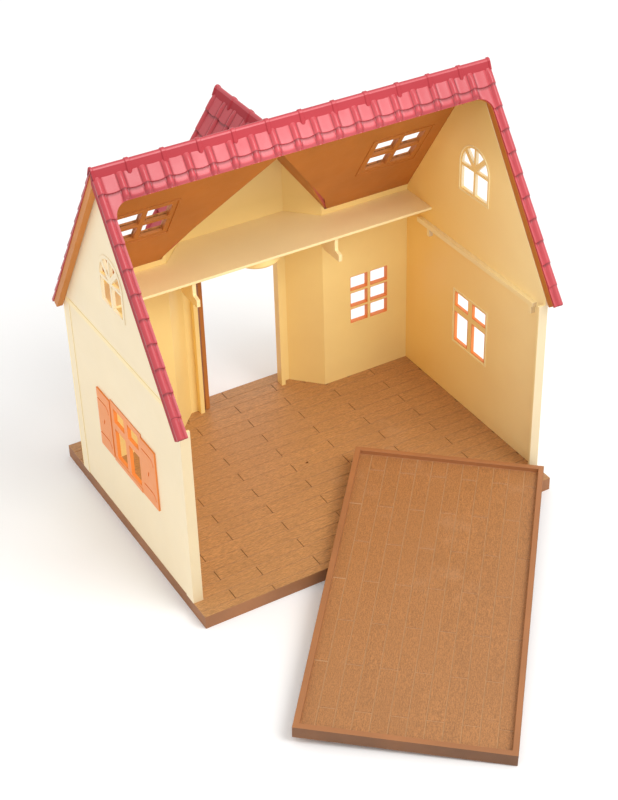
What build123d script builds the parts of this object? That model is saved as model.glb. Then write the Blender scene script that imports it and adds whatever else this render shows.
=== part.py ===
from build123d import *
import math
import os

# A toy cottage, open at the front, with a steep tiled roof, a bay with a door in its rear wall,
# a loft shelf and a lift-out upper floor. All lengths are in millimetres.
# The origin is the centre of the base's underside. +X runs along the ridge, +Y from the open
# front towards the door, and +Z is up.

# Base plate, a hollow moulding with a plank floor on top
base_width = 245.0
base_depth = 194.3
base_height = 8.8
base_skin = 2.4
base_skirt = 2.0
base_rib = 1.6
base_rib_rows = 3
base_rib_columns = 4
base_boss_radius = 7.0

# Planks moulded in the two floors
plank_length = 66.8
groove_width = 0.55
groove_depth = 0.35
base_plank_width = 9.48
base_first_plank = 5.09
base_joint_shift = 46.1
base_first_joint = 22.8

# Small pockets in the floor where the walls' tabs snap in, and the hole in its middle
tab_slot_length = 2.8
tab_slot_width = 1.0
tab_slot_depth = 0.8
gable_slot_y = (48.1, 28.1, 4.2, -22.4, -38.3, -65.1)
facade_slot_x = 74.3
cheek_slot_x = 56.0
mid_cheek_slot_x = 45.4
middle_hole_radius = 1.0
middle_hole_place = (0.6, -1.7)

# Upper floor, a shallow tray that lifts out
tray_height = 7.9
tray_end_gap = 2.0
tray_edge_gap = 0.2
tray_rim = 3.4
tray_recess = 3.0
tray_skin = 1.8
tray_skirt = 2.0
tray_rib = 1.4
tray_rib_rows = 1
tray_rib_columns = 4
tray_plank_width = 9.68
tray_first_plank = 11.5
tray_joint_shift = 19.4
tray_first_joint = 0.0

# Where the tray leans: turned about its far corner, which lies just over the base's front edge
tray_turn = -39.75
tray_side_gap = 0.97
tray_lap = 3.97
rest_gap = 0.3

# Gable walls
gable_thickness = 1.6
gable_front_ledge = 13.95
gable_rear_lap = 2.2
side_inset = 0.1
front_flange_width = 6.0
front_flange_thickness = 1.8
corner_band_width = 9.0
band_relief = 0.4
storey_rib_height = 3.0
storey_rib_z = 137.0
verge_band_width = 3.0

# Rail on each gable wall that carries the upper floor
rail_top_z = 128.3
rail_height = 3.2
rail_depth = 3.0
rail_front_inset = 8.4
rail_rear_reach = 12.6
rail_tab_width = 2.6
rail_tab_drop = 5.0
rail_front_tab_inset = 2.8
rail_rear_tab_inset = 13.2

# Facade with its bay
facade_thickness = 2.1
bay_thickness = 1.8
bay_depth = 18.4
bay_rear_ledge = 9.15
bay_jamb_width = 8.0
bay_cheek_run = 17.8

# Doorway and door
door_half_width = 29.6
door_head_z = 113.0
jamb_rib_width = 2.9
jamb_rib_depth = 4.2
door_thickness = 2.8
door_axis_inset = 3.5
door_axis_depth = 0.5
door_hinge_lap = 1.6
door_gap = 0.4
hinge_pin_radius = 1.2
hinge_pin_clearance = 0.05
hinge_pin_reach = 2.2
board_count = 5
board_groove_depth = 0.35
batten_height = 9.0
batten_relief = 0.7
batten_inset = 14.0
knob_radius = 2.6
knob_stem_radius = 1.2
knob_stem_length = 2.4
knob_height_z = 58.0
knob_inset = 6.5

# Loft shelf, its two brackets and the round boss under it
shelf_top_z = 140.3
shelf_thickness = 1.8
shelf_depth = 28.9
bracket_inset = 6.4
bracket_thickness = 2.5
bracket_setback = 1.9
bracket_nose_reach = 2.9
bracket_nose_rise = 1.4
bracket_nose_drop = 4.8
bracket_nose_length = 18.6
bracket_heel_drop = 2.3
bracket_heel_setback = 20.4
rose_radius = 15.5
rose_drop = 5.3
rose_rim = 1.5
rose_setback = 0.3

# Roof
roof_pitch = 55.9
eave_z = 132.5
ridge_shift = -1.0
roof_side_overhang = 5.1
roof_front_overhang = 7.8
roof_skin = 1.0
liner_skin = 0.9
first_course = 14.7
course_length = 13.75
course_low = 0.15
course_high = 0.95
tile_pitch = 13.2
roll_radius = 1.9
roll_sink = 0.4
roll_edge_inset = 2.1
front_strip_length = 20.5
front_rake_width = 6.2
front_corner_radius = 9.0
front_skirt_depth = 4.8
front_skirt_thickness = 1.0

# Ridge caps
cap_reach = 6.0
cap_relief = 1.1
cap_band_relief = 1.8
cap_band_width = 2.6
cap_pitch = 21.1
cap_point_reach = 9.4
cap_point_half_width = 2.6
cap_crest_radius = 1.0

# Dormer over the bay
dormer_half_width = 68.05
dormer_front_overhang = 6.5
dormer_first_course = 15.6

# Liner under the roof
liner_edge_inset = 0.6
liner_front_inset = 0.3
liner_bar_depth = 3.6
verge_gap = 0.2
liner_eave_inset = 0.8
liner_cut_apex_setback = 6.95
liner_cut_foot_lead = 6.5
liner_cut_foot_spread = 1.95
liner_cut_foot_radius = 9.0

# Skylights through roof and liner
left_skylight_inset = 44.5
right_skylight_inset = 37.0
skylight_first_row = 64.2
skylight_pane_width = 15.6
skylight_pane_length = 13.7
skylight_bar = 3.5
skylight_row_bar = 3.0
skylight_frame_gap = 4.6
skylight_frame_width = 1.2
skylight_frame_relief = 0.5

# Ground floor windows in the gable walls, with their shutters
window_shift = -1.5
window_sill_z = 55.5
window_pane_width = 14.1
window_mullion = 5.0
window_lower_height = 21.4
window_transom = 4.9
window_upper_height = 10.0
window_reveal = 0.4
casing_half_width = 20.9
casing_low_z = 51.1
casing_high_z = 96.0
casing_thickness = 0.6
sill_strip_height = 3.1
sill_strip_length = 38.1
sill_strip_relief = 0.4
shutter_width = 18.2
shutter_low_z = 52.4
shutter_high_z = 94.2
shutter_thickness = 1.1
shutter_gap = 0.3
shutter_groove_width = 0.9
shutter_groove_depth = 0.5
shutter_groove_z = (61.9, 87.1)
shutter_groove_end = 2.6
shutter_groove_drop = 4.4
shutter_groove_steps = 6
shutter_slot_width = 1.2
shutter_slot_height = 3.5
shutter_slot_lean = 15.0
shutter_slot_shift = 1.0
shutter_slot_z = 73.1

# Arched loft windows in the gable walls
arch_sill_z = 169.4
arch_pane_width = 12.7
arch_pane_height = 15.4
arch_bar = 1.8
arch_ray = 3.2
arch_radius = 13.6
arch_frame_width = 2.2
arch_frame_relief = 0.5

# Windows in the facade's two wings
facade_window_inset = 30.0
facade_window_sill_z = 51.6
facade_pane_width = 12.8
facade_pane_height = 10.3
facade_window_mullion = 2.7
facade_window_bar = 2.25
facade_casing_margin = 4.0
facade_casing_thickness = 1.5

# Sizes worked out from the ones above
pitch = math.radians(roof_pitch)
rise = math.tan(pitch)
gable_outer_x = base_width / 2 - side_inset
gable_inner_x = gable_outer_x - gable_thickness
gable_proud_x = gable_outer_x + band_relief
bay_outer_y = base_depth / 2 - bay_rear_ledge
bay_inner_y = bay_outer_y - bay_thickness
bay_half_width = door_half_width + bay_jamb_width
bay_foot_half_width = bay_half_width + bay_cheek_run
facade_outer_y = bay_outer_y - bay_depth
facade_inner_y = facade_outer_y - facade_thickness
gable_front_y = gable_front_ledge - base_depth / 2
gable_rear_y = facade_outer_y + gable_rear_lap
gable_middle_y = (gable_front_y + gable_rear_y) / 2
ridge_y = gable_middle_y + ridge_shift
roof_run = ridge_y - gable_front_y + roof_front_overhang
ridge_z = eave_z + roof_run * rise
roof_half_length = base_width / 2 + roof_side_overhang
slope_length = roof_run / math.cos(pitch)
liner_depth = roof_skin + liner_skin
liner_bar_foot = liner_depth + liner_bar_depth
dormer_ridge_z = eave_z + dormer_half_width * rise
dormer_front_y = bay_outer_y + dormer_front_overhang
dormer_slope_length = dormer_half_width / math.cos(pitch)
valley_apex_y = ridge_y + roof_run - dormer_half_width
front_opening_half_width = roof_half_length - front_rake_width
skylight_centres = (left_skylight_inset - roof_half_length, roof_half_length - right_skylight_inset)
gable_window_y = gable_middle_y + window_shift
arch_y = ridge_y
facade_window_x = gable_inner_x - facade_window_inset
shelf_underside_z = shelf_top_z - shelf_thickness
shelf_front_y = facade_inner_y - shelf_depth
rail_front_y = gable_front_y + rail_front_inset
rail_rear_y = shelf_front_y + rail_rear_reach
tray_length = 2 * (gable_inner_x - tray_end_gap)
tray_width = shelf_front_y - gable_front_y - front_flange_thickness - 2 * tray_edge_gap
door_axis_x = -door_half_width + door_axis_inset
door_axis_y = bay_inner_y - door_axis_depth
far_reach = 400.0


def box_between(low, high):
    """A block between its lowest and its highest corner."""
    size = [high[i] - low[i] for i in range(3)]
    centre = [(high[i] + low[i]) / 2 for i in range(3)]
    return Pos(*centre) * Box(*size)


def prism_x(points, x_low, x_high):
    """A (y, z) outline carried along X."""
    outline = Polyline(*[(x_low, y, z) for y, z in points], close=True)
    return extrude(make_face(outline), amount=x_high - x_low, dir=(1, 0, 0))


def prism_y(points, y_low, y_high):
    """An (x, z) outline carried along Y."""
    outline = Polyline(*[(x, y_low, z) for x, z in points], close=True)
    return extrude(make_face(outline), amount=y_high - y_low, dir=(0, 1, 0))


def prism_z(points, z_low, z_high):
    """An (x, y) outline carried up along Z."""
    outline = Polyline(*[(x, y, z_low) for x, y in points], close=True)
    return extrude(make_face(outline), amount=z_high - z_low, dir=(0, 0, 1))


def mirror_x(part):
    """The same piece on the other side of the house."""
    return mirror(part, about=Plane.YZ)


def main_z(y, depth=0.0):
    """Height of the main roof's tile plane over y, or of a plane some depth below it."""
    return ridge_z - abs(y - ridge_y) * rise - depth / math.cos(pitch)


def slope_point(along, out):
    """Run and height from the ridge, for a place down the slope and out from its plane."""
    run = along * math.cos(pitch) + out * math.sin(pitch)
    height = out * math.cos(pitch) - along * math.sin(pitch)
    return run, height


def rear_slope(part):
    """Places a piece drawn as x across, y down the slope and z outwards on the rear slope."""
    return Pos(0, ridge_y, ridge_z) * Rot(-roof_pitch, 0, 0) * part


def front_slope(part):
    """The same on the front slope."""
    return Pos(0, ridge_y, ridge_z) * Rot(0, 0, 180) * Rot(-roof_pitch, 0, 0) * part


def dormer_slope(part, side):
    """The same on the dormer's slope on the +X (1) or the -X (-1) side."""
    return Pos(0, 0, dormer_ridge_z) * Rot(0, 0, -90 * side) * Rot(-roof_pitch, 0, 0) * part


def course_line(length, first):
    """Outer line of a tiled slope: each course thickens down to its lower edge."""
    points = []
    start = 0.0
    step = first
    while start < length - 0.01:
        end = min(start + step, length)
        thick = course_low + (course_high - course_low) * (end - start) / step
        points += [slope_point(start, course_low), slope_point(end, thick)]
        start = end
        step = course_length
    return points


def tiled_chevron(length, first):
    """Section of a tiled roof shell, both slopes, as (run, height) points from its ridge."""
    outer = course_line(length, first)
    inner = [slope_point(length, -roof_skin), (0, -roof_skin / math.cos(pitch))]
    side = outer + inner[:1]
    mirrored = [(-run, height) for run, height in reversed(side)]
    return mirrored + side + inner[1:]


def chevron(length, top_depth, low_depth):
    """Section of a plain sheet under both slopes, between two depths below the tile plane."""
    top = slope_point(length, -top_depth)
    low = slope_point(length, -low_depth)
    crest = (0, -top_depth / math.cos(pitch))
    valley = (0, -low_depth / math.cos(pitch))
    return [(-low[0], low[1]), (-top[0], top[1]), crest, top, low, valley]


def slope_band(side, length, top_depth, low_depth):
    """Section of a bar under one slope, cut upright at the ridge. Side is 1 rear, -1 front."""
    points = chevron(length, top_depth, low_depth)[2:]
    return [(ridge_y + side * run, ridge_z + height) for run, height in points]


def at_main_ridge(points):
    """Moves (run, height) points to the main ridge."""
    return [(ridge_y + run, ridge_z + height) for run, height in points]


def at_dormer_ridge(points):
    """Moves (run, height) points to the dormer's ridge."""
    return [(run, dormer_ridge_z + height) for run, height in points]


def under_main_roof(depth):
    """All the space below the main roof, from a depth under its tile plane."""
    foot = slope_point(far_reach, -depth)
    points = at_main_ridge([(-foot[0], foot[1]), (0, -depth / math.cos(pitch)), foot])
    return prism_x(points, -far_reach / 2, far_reach / 2)


def under_dormer(depth):
    """All the space below the dormer's roof, behind the main ridge."""
    foot = slope_point(far_reach, -depth)
    points = at_dormer_ridge([(-foot[0], foot[1]), (0, -depth / math.cos(pitch)), foot])
    return prism_y(points, ridge_y + 1, dormer_front_y + 30)


def roll(length, start):
    """One raised roll between two columns of tiles, drawn along y from start to length."""
    half = math.sqrt(roll_radius ** 2 - roll_sink ** 2)
    arc = ThreePointArc((-half, start, 0), (0, start, roll_radius - roll_sink), (half, start, 0))
    corners = [(half, 0), (half, -roll_sink), (-half, -roll_sink), (-half, 0)]
    foot = Polyline(*[(x, start, z) for x, z in corners])
    return extrude(make_face([arc, foot]), amount=length - start, dir=(0, 1, 0))


def spaced(low, high, step):
    """Places from low to high, as near to the step apart as divides the way evenly."""
    count = max(1, round((high - low) / step))
    return [low + (high - low) * i / count for i in range(count + 1)]


def roll_places():
    """X of every roll on the main roof."""
    outermost = roof_half_length - roll_edge_inset
    return spaced(-outermost, outermost, tile_pitch)


def skylight_panes(centre_x):
    """The four openings of one skylight, drawn on the slope."""
    reach = (skylight_bar + skylight_pane_width) / 2
    openings = []
    for row in range(2):
        middle = skylight_first_row + skylight_pane_length / 2
        middle += row * (skylight_pane_length + skylight_row_bar)
        for side in (-1, 1):
            pane = Box(skylight_pane_width, skylight_pane_length, 12)
            openings.append(Pos(centre_x + side * reach, middle, 0) * pane)
    return openings


def skylight_frame(centre_x):
    """The raised outline round one skylight on the liner's lower face."""
    width = 2 * skylight_pane_width + skylight_bar + 2 * skylight_frame_gap
    length = 2 * skylight_pane_length + skylight_row_bar + 2 * skylight_frame_gap
    middle = skylight_first_row + skylight_pane_length + skylight_row_bar / 2
    ring = Rectangle(width, length)
    ring -= Rectangle(width - 2 * skylight_frame_width, length - 2 * skylight_frame_width)
    low = -liner_depth - skylight_frame_relief
    return Pos(centre_x, middle, low) * extrude(ring, amount=skylight_frame_relief)


def front_opening(half_width, start, radius):
    """The open part of the front slope, with rounded upper corners and no lower edge."""
    length = slope_length
    shape = RectangleRounded(2 * half_width, length, radius)
    return Pos(0, start + length / 2, -12) * extrude(shape, amount=24)


def make_main_roof():
    """Red roof shell: tiled rear slope, and an open frame of tiles in front."""
    outline = at_main_ridge(tiled_chevron(slope_length, first_course))
    shell = prism_x(outline, -roof_half_length, roof_half_length)
    for x in roll_places():
        one = Pos(x, 0, 0) * roll(slope_length, cap_reach)
        shell += [rear_slope(one), front_slope(one)]
    for side in (-1, 1):
        edges = sorted((side * roof_half_length, side * (roof_half_length - front_skirt_thickness)))
        shell += prism_x(slope_band(-1, slope_length, 0, front_skirt_depth), *edges)
    opening = front_opening(front_opening_half_width, front_strip_length, front_corner_radius)
    shell -= front_slope(opening)
    for centre_x in skylight_centres:
        shell -= [rear_slope(pane) for pane in skylight_panes(centre_x)]
    return shell - under_dormer(0)


def cap_section(relief, reach):
    """Section of a ridge cap, filled down to its tile plane."""
    edge = slope_point(reach, relief)
    foot = slope_point(reach, 0)
    crest = (0, relief / math.cos(pitch) - cap_crest_radius * (1 / math.cos(pitch) - 1))
    flat = slope_point(cap_crest_radius * rise / 2, relief)
    return [(-foot[0], foot[1]), (-edge[0], edge[1]), (-flat[0], flat[1]), crest, flat, edge, foot, (0, 0)]


def cap_point(slope):
    """Pointed end of a cap's band, on the slope that the given function places it on."""
    shape = Polyline(
        (-cap_point_half_width, cap_reach - 1, 0),
        (cap_point_half_width, cap_reach - 1, 0),
        (0, cap_point_reach, 0),
        close=True,
    )
    return slope(extrude(make_face(shape), amount=cap_band_relief - 0.2, dir=(0, 0, 1)))


def make_ridge_cap(roof):
    """Cap along the main ridge, with a band and a point at each joint."""
    low = -roof_half_length
    cap = prism_x(at_main_ridge(cap_section(cap_relief, cap_reach)), low, -low)
    for middle in spaced(low, -low, cap_pitch):
        start = max(low, middle - cap_band_width / 2)
        end = min(-low, middle + cap_band_width / 2)
        cap += prism_x(at_main_ridge(cap_section(cap_band_relief, cap_reach)), start, end)
        if abs(middle) < roof_half_length - 1:
            cap += cap_point(lambda part: Pos(middle, 0, 0) * rear_slope(part))
            cap += cap_point(lambda part: Pos(middle, 0, 0) * front_slope(part))
    return cap - roof


def make_dormer_roof(roof):
    """Red roof over the bay, running into the rear slope."""
    outline = at_dormer_ridge(tiled_chevron(dormer_slope_length, dormer_first_course))
    shell = prism_y(outline, ridge_y + 4, dormer_front_y)
    y = dormer_front_y - roll_edge_inset
    while y > valley_apex_y:
        for side in (-1, 1):
            one = Pos(-side * y, 0, 0) * roll(dormer_slope_length, cap_reach)
            shell += dormer_slope(one, side)
        y -= tile_pitch
    return shell - under_main_roof(roof_skin) - roof


def make_dormer_ridge_cap(roof, dormer):
    """Cap along the dormer's ridge, up to the main roof."""
    start = ridge_y + 6
    cap = prism_y(at_dormer_ridge(cap_section(cap_relief, cap_reach)), start, dormer_front_y)
    middle = dormer_front_y
    while middle > valley_apex_y + cap_pitch / 2:
        low = middle - cap_band_width / 2
        high = min(dormer_front_y, middle + cap_band_width / 2)
        cap += prism_y(at_dormer_ridge(cap_section(cap_band_relief, cap_reach)), low, high)
        if middle < dormer_front_y:
            for side in (-1, 1):
                cap += cap_point(lambda part: Pos(0, middle, 0) * dormer_slope(part, side))
        middle -= cap_pitch
    return cap - under_main_roof(-cap_relief) - roof - dormer


def liner_cut():
    """Plan outline of the hole in the liner below the dormer, as it lies on the rear slope."""
    def on_slope(x, y):
        return x, (y - ridge_y) / math.cos(pitch)
    corner_y = facade_inner_y
    end_y = ridge_y + roof_run + 10
    foot_y = facade_inner_y - liner_cut_foot_lead
    foot_half_width = foot_y - valley_apex_y + liner_cut_foot_spread
    half = [
        on_slope(foot_half_width, foot_y),
        on_slope(corner_y - valley_apex_y, corner_y),
        on_slope(end_y - valley_apex_y, end_y),
    ]
    other = [(-x, along) for x, along in reversed(half)]
    apex = on_slope(0, valley_apex_y + liner_cut_apex_setback)
    face = make_face(Polyline(apex, *half, *other, close=True))
    feet = [v for v in face.vertices() if abs(abs(v.X) - foot_half_width) < 0.01]
    face = fillet(feet, liner_cut_foot_radius)
    return Pos(0, 0, -12) * extrude(face, amount=24, dir=(0, 0, 1))


def make_roof_liner():
    """Brown liner under the roof, with bars along the verges and a hole below the dormer."""
    length = slope_length - liner_eave_inset
    half = roof_half_length - front_skirt_thickness - verge_gap
    sheet = prism_x(at_main_ridge(chevron(length, roof_skin, liner_depth)), -half, half)
    opening_half_width = front_opening_half_width - liner_front_inset
    rear_inner = gable_proud_x + verge_gap
    rear_outer = roof_half_length - liner_edge_inset
    for side in (-1, 1):
        front = slope_band(-1, length, liner_depth, liner_bar_foot)
        rear = slope_band(1, length, roof_skin, liner_bar_foot)
        sheet += prism_x(front, *sorted((side * opening_half_width, side * half)))
        sheet += prism_x(rear, *sorted((side * rear_inner, side * rear_outer)))
    for centre_x in skylight_centres:
        sheet += rear_slope(skylight_frame(centre_x))
    for centre_x in skylight_centres:
        sheet -= [rear_slope(pane) for pane in skylight_panes(centre_x)]
    opening = front_opening(opening_half_width, front_strip_length, front_corner_radius)
    sheet -= front_slope(opening)
    return sheet - rear_slope(liner_cut())


def make_dormer_liner():
    """Brown liner under the dormer's roof, with bars along its front verge."""
    length = dormer_slope_length - liner_eave_inset
    front = dormer_front_y - liner_edge_inset
    sheet = prism_y(at_dormer_ridge(chevron(length, roof_skin, liner_depth)), ridge_y + 4, front)
    bar = chevron(length, roof_skin, liner_bar_foot)
    sheet += prism_y(at_dormer_ridge(bar), bay_outer_y + verge_gap, front)
    return sheet - under_main_roof(roof_skin)


def gable_panes(x_low, x_high, margin):
    """The four openings of a gable's ground floor window, grown by a margin all round."""
    reach = (window_mullion + window_pane_width) / 2
    upper_z = window_sill_z + window_lower_height + window_transom
    rows = [(window_sill_z, window_lower_height), (upper_z, window_upper_height)]
    openings = []
    for low_z, height in rows:
        for side in (-1, 1):
            middle = gable_window_y + side * reach
            low = (x_low, middle - window_pane_width / 2 - margin, low_z - margin)
            high = (x_high, middle + window_pane_width / 2 + margin, low_z + height + margin)
            openings.append(box_between(low, high))
    return openings


def arch_panes(x_low, x_high):
    """The openings of an arched window: two panes below a fan of four."""
    middle_z = arch_sill_z + arch_pane_height
    spring_z = middle_z + arch_bar
    openings = []
    for side in (-1, 1):
        edges = sorted((side * arch_bar / 2, side * (arch_bar / 2 + arch_pane_width)))
        low = (x_low, arch_y + edges[0], arch_sill_z)
        high = (x_high, arch_y + edges[1], middle_z)
        openings.append(box_between(low, high))
    fan = Circle(arch_radius) & Pos(0, arch_radius / 2) * Rectangle(2 * arch_radius, arch_radius)
    for turn, bar in ((45, arch_ray), (90, arch_bar), (135, arch_ray)):
        fan -= Rot(0, 0, turn) * Pos(arch_radius / 2, 0) * Rectangle(arch_radius, bar)
    place = Plane(origin=(x_low, arch_y, spring_z), x_dir=(0, 1, 0), z_dir=(1, 0, 0))
    openings.append(extrude(place * fan, amount=x_high - x_low, dir=(1, 0, 0)))
    return openings


def arch_frame(x_low, x_high):
    """Raised outline round an arched window."""
    half = arch_radius + arch_frame_width
    spring_z = arch_sill_z + arch_pane_height + arch_bar
    low_z = arch_sill_z - arch_frame_width
    frame = box_between((x_low, arch_y - half, low_z), (x_high, arch_y + half, spring_z))
    place = Plane(origin=(x_low, arch_y, spring_z), x_dir=(0, 1, 0), z_dir=(1, 0, 0))
    return frame + extrude(place * Circle(half), amount=x_high - x_low, dir=(1, 0, 0))


def gable_outline():
    """(y, z) outline of a gable wall, from the base up to the liner and its front bar."""
    return [
        (gable_front_y, base_height),
        (gable_rear_y, base_height),
        (gable_rear_y, main_z(gable_rear_y, liner_depth)),
        (ridge_y, main_z(ridge_y, liner_depth)),
        (ridge_y, main_z(ridge_y, liner_bar_foot)),
        (gable_front_y, main_z(gable_front_y, liner_bar_foot)),
    ]


def gable_rail():
    """Rail inside the right gable wall, with a small tab under each end."""
    inner = gable_inner_x - rail_depth
    low_z = rail_top_z - rail_height
    rail = box_between((inner, rail_front_y, low_z), (gable_inner_x, rail_rear_y, rail_top_z))
    for y in (rail_front_y + rail_front_tab_inset, rail_rear_y - rail_rear_tab_inset):
        low = (inner, y - rail_tab_width / 2, low_z - rail_tab_drop)
        high = (gable_inner_x, y + rail_tab_width / 2, low_z)
        rail += box_between(low, high)
    return rail


def make_right_gable_wall():
    """Cream gable wall on the +X side."""
    outer = gable_outer_x
    wall = prism_x(gable_outline(), gable_inner_x, outer)
    proud = gable_proud_x
    above = prism_x(gable_outline(), outer, proud)
    rear_edge = gable_rear_y - corner_band_width
    front_edge = gable_front_y + corner_band_width
    wall += box_between((outer, rear_edge, base_height), (proud, gable_rear_y, ridge_z)) & above
    wall += box_between((outer, gable_front_y, base_height), (proud, front_edge, storey_rib_z)) & above
    top_z = storey_rib_z + storey_rib_height
    wall += box_between((outer, gable_front_y, storey_rib_z), (proud, gable_rear_y, top_z)) & above
    for side, top_depth in ((-1, liner_bar_foot), (1, liner_depth)):
        verge = slope_band(side, slope_length, top_depth, top_depth + verge_band_width)
        inside = box_between((outer, gable_front_y, top_z), (proud, gable_rear_y, ridge_z))
        wall += prism_x(verge, outer, proud) & inside
    wall += arch_frame(outer, outer + arch_frame_relief)
    wall += gable_rail()
    flange_low = (gable_inner_x - front_flange_width + gable_thickness, gable_front_y, base_height)
    flange_high = (gable_inner_x, gable_front_y + front_flange_thickness, rail_top_z + 2)
    wall += box_between(flange_low, flange_high)
    wall -= gable_panes(gable_inner_x - 1, outer + 1, window_reveal)
    return wall - arch_panes(gable_inner_x - 1, outer + 1)


def make_right_window_casing():
    """Orange casing of the right gable's ground floor window."""
    low = (gable_outer_x, gable_window_y - casing_half_width, casing_low_z)
    high = (gable_outer_x + casing_thickness, gable_window_y + casing_half_width, casing_high_z)
    casing = box_between(low, high)
    strip_low = (high[0], high[1] - sill_strip_length, casing_low_z)
    strip_high = (high[0] + sill_strip_relief, high[1], casing_low_z + sill_strip_height)
    casing += box_between(strip_low, strip_high)
    for pane in gable_panes(gable_inner_x, gable_outer_x, window_reveal):
        casing += pane
    return casing - gable_panes(gable_inner_x - 1, high[0] + 1, 0)


def shutter_groove(low_y, high_y, z, x_low, x_high):
    """A groove across a shutter, level from its rear edge and turning down near its front edge."""
    end_y = low_y + shutter_groove_end
    half = shutter_groove_width / 2
    upper = [(high_y + 1, z + half)]
    lower = [(high_y + 1, z - half)]
    for step in range(shutter_groove_steps + 1):
        angle = math.pi / 2 * step / shutter_groove_steps
        middle_y = end_y + shutter_groove_drop * (1 - math.sin(angle))
        middle_z = z - shutter_groove_drop * (1 - math.cos(angle))
        across = (half * math.sin(angle), half * math.cos(angle))
        upper.append((middle_y - across[0], middle_z + across[1]))
        lower.append((middle_y + across[0], middle_z - across[1]))
    return prism_x(upper + lower[::-1], x_low, x_high)


def make_right_shutter(side):
    """Orange shutter beside the right gable's window, on its +Y (1) or -Y (-1) side."""
    near = casing_half_width + shutter_gap
    edges = sorted((side * near, side * (near + shutter_width)))
    outer = gable_outer_x + shutter_thickness
    low = (gable_outer_x, gable_window_y + edges[0], shutter_low_z)
    high = (outer, gable_window_y + edges[1], shutter_high_z)
    shutter = box_between(low, high)
    floor = outer - shutter_groove_depth
    for z in shutter_groove_z:
        shutter -= shutter_groove(low[1], high[1], z, floor, outer + 1)
    middle = (low[1] + high[1]) / 2 + shutter_slot_shift
    slot = Box(2 * shutter_groove_depth, shutter_slot_width, shutter_slot_height)
    return shutter - Pos(outer, middle, shutter_slot_z) * Rot(shutter_slot_lean, 0, 0) * slot


def facade_panes(y_low, y_high, margin):
    """The six openings of the right wing's window, grown by a margin all round."""
    reach = (facade_window_mullion + facade_pane_width) / 2
    openings = []
    for row in range(3):
        low_z = facade_window_sill_z + row * (facade_pane_height + facade_window_bar)
        for side in (-1, 1):
            middle = facade_window_x + side * reach
            low = (middle - facade_pane_width / 2 - margin, y_low, low_z - margin)
            high = (middle + facade_pane_width / 2 + margin, y_high, low_z + facade_pane_height + margin)
            openings.append(box_between(low, high))
    return openings


def make_right_facade_window():
    """Orange casing on the outside of the right wing's window."""
    half = facade_pane_width + facade_window_mullion / 2 + facade_casing_margin
    top_z = facade_window_sill_z + 3 * facade_pane_height + 2 * facade_window_bar
    outer = facade_outer_y + facade_casing_thickness
    low = (facade_window_x - half, facade_outer_y, facade_window_sill_z - facade_casing_margin)
    casing = box_between(low, (facade_window_x + half, outer, top_z + facade_casing_margin))
    for pane in facade_panes(facade_inner_y, facade_outer_y, window_reveal):
        casing += pane
    return casing - facade_panes(facade_inner_y - 1, outer + 1, 0)


def facade_plan():
    """Plan outline of the facade's walls, wings, cheeks and bay front."""
    inner = [
        (gable_inner_x, facade_inner_y),
        (bay_foot_half_width, facade_inner_y),
        (bay_half_width, bay_inner_y),
    ]
    cheek_run = bay_foot_half_width - bay_half_width
    cheek_rise = bay_inner_y - facade_inner_y
    cheek = math.hypot(cheek_run, cheek_rise)
    shift = bay_thickness * (cheek - cheek_run) / cheek_rise
    outer_foot = facade_thickness * cheek_run / cheek_rise
    sideways = bay_thickness * cheek / cheek_rise
    outer = [
        (bay_half_width + shift, bay_outer_y),
        (bay_foot_half_width + sideways - outer_foot, facade_outer_y),
        (gable_inner_x, facade_outer_y),
    ]
    right = inner + [(-x, y) for x, y in reversed(inner)]
    back = [(-x, y) for x, y in reversed(outer)] + outer
    return right + back


def make_facade_wall():
    """Cream facade: two wings, and the bay with the doorway, up to both roofs' liners."""
    walls = prism_z(facade_plan(), base_height, dormer_ridge_z)
    walls &= under_main_roof(liner_depth) + under_dormer(liner_depth)
    rib_inner_y = bay_inner_y - jamb_rib_depth
    rib_outer_x = door_half_width + jamb_rib_width
    head_top_z = door_head_z + jamb_rib_width
    ribs = box_between((-rib_outer_x, rib_inner_y, base_height), (rib_outer_x, bay_inner_y, head_top_z))
    walls += ribs
    low = (-door_half_width, rib_inner_y - 1, base_height - 1)
    walls -= box_between(low, (door_half_width, bay_outer_y + 1, door_head_z))
    for side in (-1, 1):
        edges = sorted((side * (gable_inner_x - corner_band_width), side * gable_inner_x))
        low = (edges[0], facade_outer_y, base_height)
        high = (edges[1], gable_rear_y, main_z(gable_rear_y, liner_depth) - 0.01)
        walls += box_between(low, high)
    for pane in facade_panes(facade_inner_y - 1, facade_outer_y + 1, window_reveal):
        walls -= [pane, mirror_x(pane)]
    pin_hole = Cylinder(hinge_pin_radius + hinge_pin_clearance, 2 * (hinge_pin_reach + door_gap))
    return walls - Pos(door_axis_x, door_axis_y, door_head_z) * pin_hole


def make_door_leaf():
    """Brown plank door, drawn standing open at a right angle to the bay."""
    near_y = door_axis_y - door_hinge_lap
    far_y = door_axis_y + door_half_width - door_gap - door_axis_x
    low_z = base_height + door_gap
    high_z = door_head_z - door_gap
    faces = (door_axis_x - door_thickness / 2, door_axis_x + door_thickness / 2)
    leaf = box_between((faces[0], near_y, low_z), (faces[1], far_y, high_z))
    board = (far_y - near_y) / board_count
    for face, side in zip(faces, (-1, 1)):
        for index in range(1, board_count):
            y = near_y + index * board
            edges = sorted((face - side * board_groove_depth, face + side))
            low = (edges[0], y - groove_width / 2, low_z - 1)
            leaf -= box_between(low, (edges[1], y + groove_width / 2, high_z + 1))
    inner_face = faces[1]
    for z in (low_z + batten_inset, high_z - batten_inset - batten_height):
        low = (inner_face - board_groove_depth, near_y + 4, z)
        leaf += box_between(low, (inner_face + batten_relief, far_y - 4, z + batten_height))
    return leaf


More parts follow.
